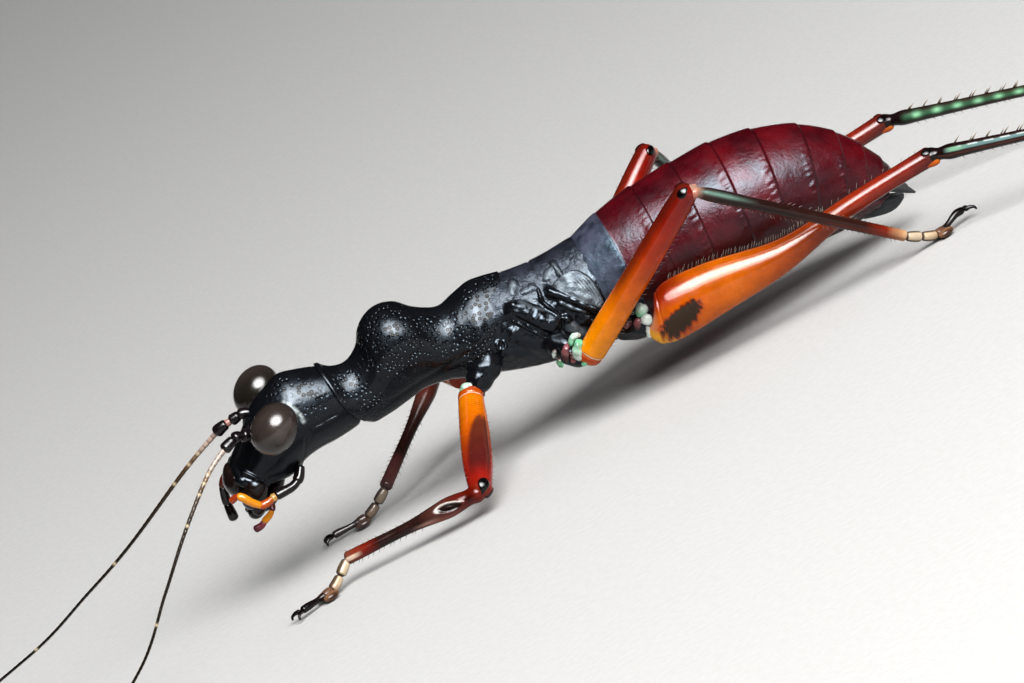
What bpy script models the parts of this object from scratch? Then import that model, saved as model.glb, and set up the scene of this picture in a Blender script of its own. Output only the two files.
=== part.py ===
"""A katydid nymph of the genus Leptoderes, life size, standing on a flat floor.

The tail points along +X, the insect's left side faces -Y and +Z is up. Lengths
below are in millimetres. The trunk and head are described in the insect's own
frame, which is then leaned a little toward its left side, as it stands. Knees,
ankles and toes are given as places over the floor.
"""

import math
import random

import bmesh
import bpy
import numpy as np
from mathutils import Euler, Matrix, Vector

for item in list(bpy.data.objects):
    bpy.data.objects.remove(item, do_unlink=True)

MM = 0.001
GAP = 0.15          # slit that parts one sub-part from the next
LEAN = 4.0          # degrees that the trunk rolls toward the left side
LIFT = 0.05         # how far the trunk's own floor line stands above the floor
HEAD_ROLL = 7.0     # degrees that the head rolls further, about the neck
HEAD_YAW = 2.8      # degrees that the head turns toward the right side
NECK = (-5.4, 0.0, 4.4)

TRUNK_SIDES = 22
LIMB_SIDES = 10
FEELER_SIDES = 8

# Each trunk section is set between a point of the back and a point of the belly:
# back x, back z, belly x, belly z, half-width, pear (above 0 is wider below).
PROTHORAX = (
    (-5.27, 5.50, -5.07, 3.20, 0.94, 0.05),
    (-4.90, 5.22, -4.75, 3.06, 0.88, 0.05),
    (-4.45, 5.12, -4.35, 3.05, 0.86, 0.05),
    (-3.98, 5.36, -3.95, 3.06, 0.93, 0.00),
    (-3.66, 5.80, -3.55, 3.10, 1.04, -0.06),
    (-3.28, 6.07, -3.15, 3.15, 1.12, -0.10),
    (-2.82, 6.16, -2.80, 3.20, 1.15, -0.10),
    (-2.32, 5.98, -2.45, 3.15, 1.10, -0.06),
    (-1.86, 5.52, -2.15, 3.08, 1.01, 0.00),
    (-1.25, 5.18, -1.80, 3.00, 0.97, 0.05),
    (-0.68, 5.28, -1.50, 2.90, 1.06, 0.05),
    (-0.12, 5.39, -1.20, 2.78, 1.15, 0.05),
    (0.36, 5.32, -0.90, 2.68, 1.18, 0.06),
    (0.84, 5.18, -0.60, 2.55, 1.19, 0.08),
)
MESOTHORAX = (
    (0.84, 5.12, -0.60, 2.50, 1.15, 0.08),
    (1.30, 5.04, 0.10, 2.20, 1.18, 0.10),
    (1.75, 4.98, 0.90, 1.95, 1.24, 0.12),
)
METATHORAX = (
    (1.75, 4.98, 0.90, 1.95, 1.24, 0.12),
    (2.42, 4.95, 1.90, 1.72, 1.32, 0.12),
    (3.09, 4.97, 2.95, 1.55, 1.40, 0.10),
)
FIRST_TERGITE = (
    (3.09, 4.97, 2.95, 1.55, 1.42, 0.10),
    (3.65, 5.06, 3.55, 1.42, 1.52, 0.08),
    (4.26, 5.22, 4.15, 1.33, 1.62, 0.06),
)
ABDOMEN = (
    (4.26, 5.22, 4.15, 1.33, 1.62, 0.06),
    (5.59, 5.38, 5.35, 1.22, 1.80, 0.05),
    (6.95, 5.41, 6.55, 1.16, 1.90, 0.04),
    (8.27, 5.35, 7.75, 1.12, 1.92, 0.04),
    (9.58, 5.07, 8.80, 1.08, 1.80, 0.03),
    (10.87, 4.49, 9.70, 1.03, 1.58, 0.02),
    (11.75, 3.72, 10.55, 1.00, 1.28, 0.00),
    (12.26, 3.00, 11.25, 1.00, 0.98, 0.00),
    (12.59, 2.31, 11.85, 1.05, 0.70, 0.00),
    (12.74, 1.85, 12.25, 1.22, 0.42, 0.00),
)
TERGITE_STEP = 0.045    # how far each ring of the abdomen stands over the next

# The head's sections, from the neck to the mouth, in the head's own frame.
HEAD = (
    (-5.27, 5.50, -5.07, 3.20, 0.92, 0.00),
    (-5.95, 5.72, -5.80, 3.18, 1.04, -0.02),
    (-6.45, 5.84, -6.35, 3.20, 1.10, -0.04),
    (-7.00, 5.66, -6.85, 3.12, 1.10, -0.04),
    (-7.60, 5.34, -7.25, 3.00, 1.06, 0.00),
    (-8.12, 4.86, -7.58, 2.95, 1.01, 0.02),
    (-8.58, 4.44, -7.88, 2.97, 0.96, 0.00),
    (-8.94, 4.12, -8.12, 3.02, 0.90, 0.00),
    (-9.16, 3.86, -8.32, 3.10, 0.80, 0.00),
)

EYE_AT = (-7.24, 1.55, 5.05)
EYE_RADII = (0.68, 0.74, 0.83)
EYE_TILT = 54.6     # degrees about Y, so that the long axis leans to the tail

# Mouthparts in the head's frame, each for the +Y side: x, y, z, radius.
LABRUM = ((-8.98, 3.98), (-9.20, 3.60), (-9.38, 3.20), (-9.42, 2.86))
MANDIBLE = (
    (-8.46, 0.52, 3.50, 0.30),
    (-8.62, 0.56, 3.12, 0.31),
    (-8.84, 0.50, 2.84, 0.26),
    (-9.04, 0.28, 2.78, 0.12),
)
LABIUM = ((-7.75, 3.20), (-8.15, 2.78), (-8.58, 2.46), (-8.98, 2.30))
MAXILLARY_PALP = {
    "left": (
        (-7.20, 0.78, 3.20, 0.22),
        (-7.50, 1.02, 2.76, 0.22),
        (-8.00, 1.15, 2.68, 0.22),
        (-8.50, 1.25, 2.78, 0.20),
        (-8.90, 1.25, 2.98, 0.20),
        (-9.22, 1.12, 3.28, 0.18),
        (-9.52, 0.96, 3.26, 0.12),
    ),
    "right": (
        (-7.20, 0.78, 3.20, 0.22),
        (-7.50, 1.02, 2.76, 0.22),
        (-8.10, 1.22, 2.90, 0.22),
        (-8.80, 1.26, 3.30, 0.20),
        (-9.35, 1.10, 3.36, 0.20),
        (-9.58, 0.95, 2.92, 0.18),
        (-9.60, 0.85, 2.32, 0.14),
    ),
}
LABIAL_PALP = (
    (-8.34, 0.68, 2.42, 0.18),
    (-8.60, 0.74, 2.14, 0.18),
    (-9.00, 0.76, 2.06, 0.18),
    (-9.36, 0.72, 2.04, 0.12),
)

# Feelers over the floor, from the socket to the tip.
FEELER_RADIUS = 0.25
FEELER_TIP_RADIUS = 0.10
FEELERS = {
    "left": (
        (-7.95, -0.98, 4.84),
        (-8.28, -1.05, 4.92),
        (-8.80, -1.18, 4.94),
        (-9.76, -1.70, 4.55),
        (-11.17, -2.90, 3.61),
        (-12.54, -4.30, 2.64),
        (-14.27, -6.20, 1.50),
        (-17.20, -9.30, 0.80),
        (-21.40, -13.30, 0.75),
        (-26.20, -17.30, 1.40),
        (-30.60, -20.40, 2.80),
    ),
    "right": (
        (-7.75, 0.02, 5.12),
        (-8.15, 0.08, 5.22),
        (-8.75, 0.18, 5.14),
        (-10.24, 0.50, 4.53),
        (-12.77, 0.90, 3.28),
        (-14.65, 1.20, 2.54),
        (-17.06, 1.60, 1.70),
        (-21.20, 2.60, 0.95),
        (-26.60, 4.60, 0.85),
        (-32.00, 7.40, 1.50),
        (-37.20, 10.60, 3.00),
    ),
}

# Wing pads and the ridges of the side plates: centre, radii, tilt about Y.
MESO_LOBES = (
    ((1.22, 1.02, 4.66), (0.34, 0.14, 0.24), 30.0),
    ((0.66, 1.06, 3.50), (0.62, 0.20, 0.17), 24.0),
    ((0.96, 1.22, 2.92), (0.58, 0.20, 0.16), 24.0),
)
META_LOBES = (
    ((2.34, 1.24, 4.10), (0.62, 0.16, 0.44), 40.0),
    ((2.06, 1.32, 3.30), (0.60, 0.20, 0.16), 24.0),
    ((2.36, 1.38, 2.66), (0.58, 0.20, 0.16), 24.0),
)

OVIPOSITOR = (
    (11.20, 0.0, 1.30, 0.26, 0.36),
    (11.75, 0.0, 1.08, 0.25, 0.34),
    (12.25, 0.0, 0.94, 0.22, 0.28),
    (12.72, 0.0, 0.95, 0.10, 0.09),
)
CERCUS = (
    (12.30, 0.36, 1.60, 0.20),
    (12.62, 0.44, 1.36, 0.20),
    (12.84, 0.48, 1.14, 0.14),
    (13.00, 0.48, 0.96, 0.05),
)

# Legs. Coxae are in the trunk's frame, for the +Y side; the other places are over
# the floor. Radii run from the hip to the knee, and from the knee to the ankle,
# as fraction along, half-width, half-depth.
COXAE = {
    "front": ((-0.52, 0.50, 3.50, 0.46), (-0.92, 0.92, 3.05, 0.46)),
    "mid": ((1.20, 0.70, 2.90, 0.50), (1.40, 1.22, 2.54, 0.46)),
    "hind": ((3.20, 0.85, 2.60, 0.58), (3.40, 1.45, 2.24, 0.54)),
}
LEG_ROOTS = PROTHORAX[7:-1] + MESOTHORAX[:-1] + METATHORAX[:-1] + FIRST_TERGITE[:-1] + ABDOMEN[:4]
TROCHANTER = 0.36       # length of the end piece that turns from the coxa into the thigh
TROCHANTER_MOST = 0.42  # its greatest half-width or half-depth
BALL_SHARE = 1.05       # radius of the ball where it turns, against that half-width
FEMUR_RADII = {
    "front": ((0.0, 0.29, 0.32), (0.12, 0.35, 0.39), (0.40, 0.40, 0.45), (0.70, 0.40, 0.46), (1.0, 0.33, 0.36)),
    "mid": ((0.0, 0.28, 0.34), (0.10, 0.36, 0.43), (0.35, 0.37, 0.43), (0.75, 0.32, 0.36), (1.0, 0.29, 0.31)),
    "hind": (
        (0.0, 0.38, 0.58),
        (0.02, 0.46, 0.74),
        (0.07, 0.52, 0.86),
        (0.14, 0.53, 0.87),
        (0.20, 0.51, 0.84),
        (0.34, 0.46, 0.67),
        (0.46, 0.39, 0.51),
        (0.56, 0.34, 0.40),
        (0.70, 0.31, 0.34),
        (0.88, 0.30, 0.33),
        (1.0, 0.33, 0.38),
    ),
}
HIND_SAG = 0.28     # how far the hind thigh bows down from the straight line to the knee
HIND_ROLL = 0.1     # how far the top of its deep side leans to the body
TIBIA_RADII = {
    "front": ((0.0, 0.33, 0.36), (0.12, 0.34, 0.40), (0.24, 0.31, 0.36), (0.38, 0.26, 0.27), (1.0, 0.25, 0.25)),
    "mid": ((0.0, 0.28, 0.29), (0.12, 0.25, 0.27), (1.0, 0.25, 0.25)),
    "hind": ((0.0, 0.31, 0.33), (0.07, 0.26, 0.28), (1.0, 0.25, 0.25)),
}
LEGS = {
    "front_left": ((-1.79, -1.58, 2.50), (-2.99, -4.80, 0.72), (-7.38, -3.75, 0.72), (-0.90, -0.42)),
    "front_right": ((-1.62, 1.32, 2.66), (-1.79, 4.60, 2.57), (-5.22, 1.62, 0.72), (-1.00, -0.06)),
    "mid_left": ((1.98, -2.06, 2.02), (6.67, -4.40, 5.40), (11.75, -3.60, 0.72), (0.94, 0.34)),
    "mid_right": ((1.98, 1.86, 2.16), (6.90, 3.80, 5.27), (8.50, 8.30, 0.72), (0.62, 0.78)),
    "hind_left": ((4.26, -2.60, 2.04), (13.59, -3.42, 2.41), (21.75, -8.00, 0.72), (0.92, -0.38)),
    "hind_right": ((4.24, 2.40, 2.26), (13.64, 3.28, 2.46), (21.90, -1.20, 0.72), (0.96, -0.28)),
}
KNEE_BEND = 0.55        # the length over which a limb turns at its knee, each way
ANKLE_BEND = 0.25

# A foot, from the ankle forward: distance, height of the axis, half-width, half-height.
FOOT = (
    (0.00, 0.72, 0.25, 0.25),
    (0.40, 0.48, 0.22, 0.22),
    (0.80, 0.27, 0.24, 0.23),
    (1.20, 0.21, 0.26, 0.22),
    (1.48, 0.27, 0.18, 0.18),
    (1.80, 0.37, 0.16, 0.16),
    (2.02, 0.36, 0.16, 0.16),
    (2.12, 0.33, 0.12, 0.12),
)
PAD_AT = 1.20           # where the lobes of the third joint stand out
PAD_OUT = 0.24
PAD_HEIGHT = 0.19
PAD_RADII = (0.34, 0.24, 0.22)
CLAW = ((0.0, 0.05, 0.0), (0.45, 0.30, 0.06), (0.85, 0.45, -0.10), (1.0, 0.45, -0.38))
CLAW_LENGTH = 0.38
CLAW_RADIUS = 0.10
CLAW_TIP_RADIUS = 0.035

# Spines in two rows along the outer edge of each hind shin.
SPINES_A_ROW = 8
SPINE_SPAN = (0.10, 0.88)
SPINE_LENGTH = 0.38
SPINE_RADIUS = 0.085
SPINE_TIP_RADIUS = 0.02
SPINE_SINK = 0.14
SPINE_ROW_ANGLE = 36.0
SPINE_LEAN = 0.9
SPINE_SIDES = 5

ROOT = bpy.data.objects.new("insect", None)
bpy.context.scene.collection.objects.link(ROOT)


def material(name, colour, roughness):
    made = bpy.data.materials.new(name)
    made.use_nodes = True
    shader = made.node_tree.nodes["Principled BSDF"]
    shader.inputs["Base Color"].default_value = (*colour, 1.0)
    shader.inputs["Roughness"].default_value = roughness
    return made


BLACK = material("black_cuticle", (0.012, 0.013, 0.016), 0.16)
SATIN = material("blue_black_cuticle", (0.05, 0.052, 0.065), 0.32)
WINE = material("wine_red_cuticle", (0.17, 0.010, 0.022), 0.2)
EYE = material("eye", (0.085, 0.065, 0.062), 0.12)
MOUTH = material("palp_orange", (0.75, 0.22, 0.03), 0.25)
ORANGE = material("femur_orange", (0.80, 0.22, 0.01), 0.25)
BROWN = material("tibia_brown", (0.06, 0.028, 0.02), 0.25)
FOOT_TONE = material("foot_cream", (0.50, 0.40, 0.28), 0.3)
FEELER_TONE = material("feeler_brown", (0.12, 0.06, 0.05), 0.3)


TRUNK_PLACE = Matrix.Translation((0, 0, LIFT)) @ Matrix.Rotation(math.radians(LEAN), 4, "X")
HEAD_TURN = Euler((math.radians(HEAD_ROLL), 0.0, math.radians(-HEAD_YAW))).to_matrix().to_4x4()
HEAD_PLACE = TRUNK_PLACE @ Matrix.Translation(NECK) @ HEAD_TURN @ Matrix.Translation(-Vector(NECK))


def placed(points, place):
    """Points (..., 3) carried by a 4 x 4 matrix."""
    turn = np.array(place)
    return points @ turn[:3, :3].T + turn[:3, 3]


def smooth(rows, steps):
    """A Catmull-Rom curve through the rows, with this many steps from each to the next."""
    rows = np.array(rows, float)
    ends = np.vstack([2 * rows[0] - rows[1], rows, 2 * rows[-1] - rows[-2]])
    t = np.linspace(0, 1, steps, endpoint=False)[:, None]
    spans = []
    for p0, p1, p2, p3 in zip(ends, ends[1:], ends[2:], ends[3:]):
        slope1, slope2 = (p2 - p0) / 2, (p3 - p1) / 2
        spans.append(
            p1 * (2 * t**3 - 3 * t**2 + 1)
            + slope1 * (t**3 - 2 * t**2 + t)
            + p2 * (3 * t**2 - 2 * t**3)
            + slope2 * (t**3 - t**2)
        )
    return np.vstack([*spans, rows[-1:]])


def closed_mesh(name, rings, tone):
    """One closed object from equal rings of points, in millimetres over the floor."""
    count, sides = rings.shape[:2]
    mesh = bmesh.new()
    loops = [[mesh.verts.new(Vector(p) * MM) for p in ring] for ring in rings]
    for one, two in zip(loops, loops[1:]):
        for i in range(sides):
            j = (i + 1) % sides
            mesh.faces.new((one[i], one[j], two[j], two[i]))
    mesh.faces.new(loops[0][::-1])
    mesh.faces.new(loops[-1])
    bmesh.ops.recalc_face_normals(mesh, faces=mesh.faces)
    data = bpy.data.meshes.new(name)
    mesh.to_mesh(data)
    mesh.free()
    data.materials.append(tone)
    made = bpy.data.objects.new(name, data)
    bpy.context.scene.collection.objects.link(made)
    made.parent = ROOT
    return made


def section_rings(rows, sides, grow=0.0):
    """Rings of the trunk: an oval between its back and belly points, wider below by its pear value."""
    rows = np.asarray(rows, float)
    back = np.stack([rows[:, 0], np.zeros(len(rows)), rows[:, 1]], -1)
    belly = np.stack([rows[:, 2], np.zeros(len(rows)), rows[:, 3]], -1)
    half = (back - belly) / 2
    half *= 1 + grow / np.linalg.norm(half, axis=1)[:, None]
    angle = np.linspace(0, 2 * math.pi, sides, endpoint=False)
    rise = np.cos(angle)[None, :, None]
    side = (np.sin(angle)[None] * (1 - rows[:, 5:6] * np.cos(angle)[None]))[:, :, None]
    across = np.array([0.0, 1.0, 0.0]) * (rows[:, 4:5] + grow)
    return ((back + belly) / 2)[:, None] + half[:, None] * rise + across[:, None] * side


def along_trunk(rows, distance):
    """The row moved along the trunk's axis, away from its neighbour, for the slit between two nodes."""
    rows = np.array(rows, float)
    for end, inner in ((0, 1), (-1, -2)):
        step = rows[inner, :4] - rows[end, :4]
        length = (np.hypot(step[0], step[1]) + np.hypot(step[2], step[3])) / 2
        rows[end] += (rows[inner] - rows[end]) * distance / length
    return rows


def tube_rings(path, radii, sides, side=None):
    """Rings across a path; radii are half-width along `side` and half-depth across it."""
    path = np.asarray(path, float)
    radii = np.asarray(radii, float)
    tangent = np.gradient(path, axis=0)
    tangent /= np.linalg.norm(tangent, axis=1)[:, None]
    if side is None:
        side = np.cross((0.0, 0.0, 1.0), tangent)
    side = np.broadcast_to(side, path.shape)
    side = side - np.sum(side * tangent, axis=1)[:, None] * tangent
    side = side / np.linalg.norm(side, axis=1)[:, None]
    up = np.cross(tangent, side)
    angle = np.linspace(0, 2 * math.pi, sides, endpoint=False)
    ring = np.cos(angle)[None, :, None] * (side * radii[:, :1])[:, None]
    ring = ring + np.sin(angle)[None, :, None] * (up * radii[:, 1:2])[:, None]
    return path[:, None] + ring


def rounded(path, radii, at_start=False, at_end=False, turns=(40, 75)):
    """The path and radii with rings added that close an end in a dome."""
    path = np.asarray(path, float)
    radii = np.asarray(radii, float)
    for wanted, index, inner in ((at_end, -1, -2), (at_start, 0, 1)):
        if not wanted:
            continue
        out = path[index] - path[inner]
        out /= np.linalg.norm(out)
        reach = radii[index].mean()
        more = [path[index] + out * reach * math.sin(math.radians(a)) for a in turns]
        fewer = [radii[index] * math.cos(math.radians(a)) for a in turns]
        if index == -1:
            path, radii = np.vstack([path, more]), np.vstack([radii, fewer])
        else:
            path, radii = np.vstack([more[::-1], path]), np.vstack([fewer[::-1], radii])
    return path, radii


def oval(name, centre, radii, tone, place=Matrix(), tilt=0.0, sides=20, rows=12):
    """An ellipsoid, tilted about Y."""
    turn = np.array(Matrix.Rotation(math.radians(tilt), 3, "Y"))
    polar = np.linspace(0, math.pi, rows + 1)[1:-1]
    angle = np.linspace(0, 2 * math.pi, sides, endpoint=False)
    ring = np.stack(
        [
            np.sin(polar)[:, None] * np.cos(angle),
            np.sin(polar)[:, None] * np.sin(angle),
            np.cos(polar)[:, None] + 0 * angle,
        ],
        -1,
    )
    points = (ring * np.array(radii)) @ turn.T + np.array(centre)
    made = closed_mesh(name, placed(points, place), tone)
    mesh = bmesh.new()
    mesh.from_mesh(made.data)
    for cap in [face for face in mesh.faces if len(face.verts) == sides]:
        bmesh.ops.poke(mesh, faces=[cap])
    mesh.to_mesh(made.data)
    mesh.free()
    return made


def drop(objects):
    for item in objects:
        bpy.data.objects.remove(item, do_unlink=True)


def boolean(target, others, operation):
    """Joins or cuts the target by closed meshes in one applied Boolean, and removes them."""
    group = bpy.data.collections.new("tools")
    for other in others:
        group.objects.link(other)
    step = target.modifiers.new(operation.lower(), "BOOLEAN")
    step.operation = operation
    step.operand_type = "COLLECTION"
    step.collection = group
    step.solver = "EXACT"
    graph = bpy.context.evaluated_depsgraph_get()
    result = bpy.data.meshes.new_from_object(target.evaluated_get(graph))
    target.modifiers.remove(step)
    old, target.data = target.data, result
    result.name = old.name
    bpy.data.meshes.remove(old)
    drop(others)
    bpy.data.collections.remove(group)
    keep_largest(target)
    return target


def keep_largest(target):
    """Keeps only the largest closed surface of a mesh."""
    mesh = bmesh.new()
    mesh.from_mesh(target.data)
    bmesh.ops.triangulate(mesh, faces=mesh.faces)
    unseen = set(mesh.verts)
    shells = []
    while unseen:
        shell, front = set(), [unseen.pop()]
        while front:
            vert = front.pop()
            shell.add(vert)
            for edge in vert.link_edges:
                other = edge.other_vert(vert)
                if other in unseen:
                    unseen.remove(other)
                    front.append(other)
        faces = {face for vert in shell for face in vert.link_faces}
        volume = sum(f.verts[0].co.dot(f.verts[1].co.cross(f.verts[2].co)) for f in faces)
        shells.append((abs(volume), shell))
    shells.sort(key=lambda pair: pair[0])
    scraps = [vert for _, shell in shells[:-1] for vert in shell]
    bmesh.ops.delete(mesh, geom=scraps, context="VERTS")
    mesh.to_mesh(target.data)
    mesh.free()


def trunk_node(name, rows, tone, steps, place=TRUNK_PLACE, slit=GAP / 2):
    rings = section_rings(smooth(along_trunk(rows, slit), steps), TRUNK_SIDES)
    return closed_mesh(name, placed(rings, place), tone)


def grown(name, rows, steps, place=TRUNK_PLACE):
    """A copy of a trunk section that is one slit wider, which cuts what grows from it."""
    rings = section_rings(smooth(rows, steps), TRUNK_SIDES, GAP)
    cutter = closed_mesh(name, placed(rings, place), BLACK)
    cutter.hide_render = True
    cutter.display_type = "WIRE"
    return cutter


def mirrored(rows, sign):
    """Rows of x, y, z and more, for the side that the sign names."""
    rows = np.array(rows, float)
    rows[:, 1] *= sign
    return rows


def make_trunk():
    trunk_node("prothorax", PROTHORAX, BLACK, 2)
    meso = trunk_node("mesothorax", MESOTHORAX, SATIN, 3)
    meta = trunk_node("metathorax", METATHORAX, SATIN, 3)
    for target, pads in ((meso, MESO_LOBES), (meta, META_LOBES)):
        lobes = []
        for centre, radii, tilt in pads:
            for sign in (-1, 1):
                at = (centre[0], centre[1] * sign, centre[2])
                lobes.append(oval("lobe", at, radii, SATIN, TRUNK_PLACE, tilt, 8, 5))
        boolean(target, lobes, "UNION")
    trunk_node("first_tergite", FIRST_TERGITE, SATIN, 3)


def make_abdomen():
    """Nine rings; each flares a little toward its hind edge and drops to the next."""
    rows = along_trunk(ABDOMEN, GAP / 2)
    curve = smooth(rows, 3)
    flare = np.tile([0.0, 0.6, 1.0], len(rows) - 1) * TERGITE_STEP
    flare = np.append(flare, 0.0)
    rings = section_rings(curve, TRUNK_SIDES)
    centre = rings.mean(axis=1, keepdims=True)
    reach = np.linalg.norm(rings - centre, axis=2, keepdims=True)
    rings = centre + (rings - centre) * (1 + flare[:, None, None] / reach)
    closed_mesh("abdomen", placed(rings, TRUNK_PLACE), WINE)


def make_head():
    rows = along_trunk(HEAD, GAP / 2)
    head = closed_mesh("head", placed(section_rings(smooth(rows, 3), TRUNK_SIDES), HEAD_PLACE), BLACK)
    sockets = []
    for side, sign in (("left", -1), ("right", 1)):
        at = (EYE_AT[0], EYE_AT[1] * sign, EYE_AT[2])
        oval(side + "_eye", at, EYE_RADII, EYE, HEAD_PLACE, EYE_TILT, 18, 11)
        wider = [radius + GAP for radius in EYE_RADII]
        sockets.append(oval("socket", at, wider, BLACK, HEAD_PLACE, EYE_TILT, 18, 11))
    boolean(head, sockets, "DIFFERENCE")


def flat_lobe(name, line, half_width, thickness, tone):
    """A rounded plate in the head's frame that hangs along a line of x, z points."""
    line = smooth(line, 3)
    path = np.stack([line[:, 0], np.zeros(len(line)), line[:, 1]], -1)
    fall = np.linspace(0, 1, len(path))
    width = half_width * (1 - 0.35 * fall**3)
    radii = np.stack([width, np.full(len(path), thickness / 2)], -1)
    path, radii = rounded(path, radii, at_end=True)
    rings = tube_rings(path, radii, 14, side=(0.0, 1.0, 0.0))
    return closed_mesh(name, placed(rings, HEAD_PLACE), tone)


def feeler_tube(name, rows, tone, sides, place=Matrix(), steps=3):
    """A tapering tube with a rounded tip, through rows of x, y, z, radius."""
    curve = smooth(rows, steps)
    path, radii = rounded(curve[:, :3], curve[:, 3:4].repeat(2, axis=1), at_end=True)
    return closed_mesh(name, placed(tube_rings(path, radii, sides, side=(0.0, 0.0, 1.0)), place), tone)


def make_mouth():
    rooted = [
        flat_lobe("labrum", LABRUM, 0.46, 0.30, BLACK),
        flat_lobe("labium", LABIUM, 0.46, 0.34, BLACK),
    ]
    for side, sign in (("left", -1), ("right", 1)):
        rooted.append(feeler_tube(side + "_mandible", mirrored(MANDIBLE, sign), BLACK, 10, HEAD_PLACE))
        palp = mirrored(MAXILLARY_PALP[side], sign)
        rooted.append(feeler_tube(side + "_maxillary_palp", palp, MOUTH, FEELER_SIDES, HEAD_PLACE, 2))
        feeler_tube(side + "_labial_palp", mirrored(LABIAL_PALP, sign), MOUTH, FEELER_SIDES, HEAD_PLACE, 2)
    for piece in rooted:
        boolean(piece, [grown("head_cut", HEAD, 3, HEAD_PLACE)], "DIFFERENCE")


def make_feelers():
    for side, rows in FEELERS.items():
        curve = smooth(rows, 3)
        reach = np.append(0, np.cumsum(np.linalg.norm(np.diff(curve, axis=0), axis=1)))
        fraction = reach / reach[-1]
        radius = FEELER_RADIUS + (FEELER_TIP_RADIUS - FEELER_RADIUS) * np.clip((fraction - 0.75) / 0.25, 0, 1)
        path, radii = rounded(curve, np.stack([radius, radius], -1), at_end=True)
        feeler = closed_mesh(side + "_antenna", tube_rings(path, radii, FEELER_SIDES), FEELER_TONE)
        boolean(feeler, [grown("head_cut", HEAD, 3, HEAD_PLACE)], "DIFFERENCE")


def make_tail():
    rows = np.array(OVIPOSITOR)
    curve = smooth(rows, 3)
    path, radii = rounded(curve[:, :3], curve[:, 3:], at_end=True)
    rings = tube_rings(path, radii, 10, side=(0.0, 1.0, 0.0))
    blade = closed_mesh("ovipositor", placed(rings, TRUNK_PLACE), BLACK)
    boolean(blade, [grown("tail_cut", ABDOMEN, 3)], "DIFFERENCE")
    for side, sign in (("left", -1), ("right", 1)):
        spike = feeler_tube(side + "_cercus", mirrored(CERCUS, sign), BLACK, FEELER_SIDES, TRUNK_PLACE, 2)
        boolean(spike, [grown("tail_cut", ABDOMEN, 3)], "DIFFERENCE")


def bend(before, corner, after, reach, steps=3):
    """Points of a quadratic Bezier curve that rounds a corner, split at its middle."""
    back = (before - corner) / np.linalg.norm(before - corner)
    ahead = (after - corner) / np.linalg.norm(after - corner)
    t = np.linspace(0, 1, 2 * steps + 1)[:, None]
    start, end = corner + back * reach, corner + ahead * reach
    curve = start * (1 - t) ** 2 + corner * 2 * t * (1 - t) + end * t**2
    return curve[: steps + 1], curve[steps:]


def pulled_back(path, from_start, distance):
    """The path with one end moved inward along itself, for the slit at a joint."""
    path = np.array(path)
    end, inner = (0, 1) if from_start else (-1, -2)
    step = path[inner] - path[end]
    path[end] += step / np.linalg.norm(step) * distance
    return path


def spread_radii(path, table):
    reach = np.append(0, np.cumsum(np.linalg.norm(np.diff(path, axis=0), axis=1)))
    fraction = reach / reach[-1]
    table = np.array(table)
    return np.stack([np.interp(fraction, table[:, 0], table[:, i]) for i in (1, 2)], -1)


def straight(start, end, count):
    return start + (end - start) * np.linspace(0, 1, count)[:, None]


def limb(name, path, table, side, tone):
    path = pulled_back(pulled_back(path, True, GAP / 2), False, GAP / 2)
    return closed_mesh(name, tube_rings(path, spread_radii(path, table), LIMB_SIDES, side), tone)


def make_leg(leg, hip, knee, ankle, heading):
    pair, side_name = leg.split("_")
    sign = -1 if side_name == "left" else 1
    hip, knee, ankle = (np.array(point) for point in (hip, knee, ankle))
    side = np.cross(knee - hip, ankle - knee)
    side /= np.linalg.norm(side)
    ahead = np.array([*heading, 0.0])
    ahead /= np.linalg.norm(ahead)
    toe_line = ankle + ahead + np.array([0, 0, -0.6])
    knee_in, knee_out = bend(hip, knee, ankle, KNEE_BEND)
    ankle_in, _ = bend(knee, ankle, toe_line, ANKLE_BEND, 2)
    count = 13 if pair == "hind" else 6
    line = straight(hip, knee_in[0], count)
    narrow = side
    if pair == "hind":
        thigh = (knee - hip) / np.linalg.norm(knee - hip)
        deep = np.array([0.0, -HIND_ROLL * sign, 1.0])
        deep -= (deep @ thigh) * thigh
        deep /= np.linalg.norm(deep)
        bow = np.exp(-(((np.linspace(0, 1, count) - 0.45) / 0.19) ** 2))
        line = line - deep * (HIND_SAG * bow)[:, None]
        narrow = np.cross(deep, thigh)
    femur_path = np.vstack([line[:-1], knee_in])
    limb(leg + "_femur", femur_path, FEMUR_RADII[pair], narrow, ORANGE)
    tibia_path = np.vstack([knee_out[:-1], straight(knee_out[-1], ankle_in[0], 5)[:-1], ankle_in])
    tibia = limb(leg + "_tibia", tibia_path, TIBIA_RADII[pair], side, BROWN)
    if pair == "hind":
        add_spines(tibia, knee_out[-1], ankle_in[0], knee - hip, side, sign)
    make_coxa(leg, pair, mirrored(COXAE[pair], sign), hip, knee, side)
    make_foot(leg, ankle, ahead)


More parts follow.
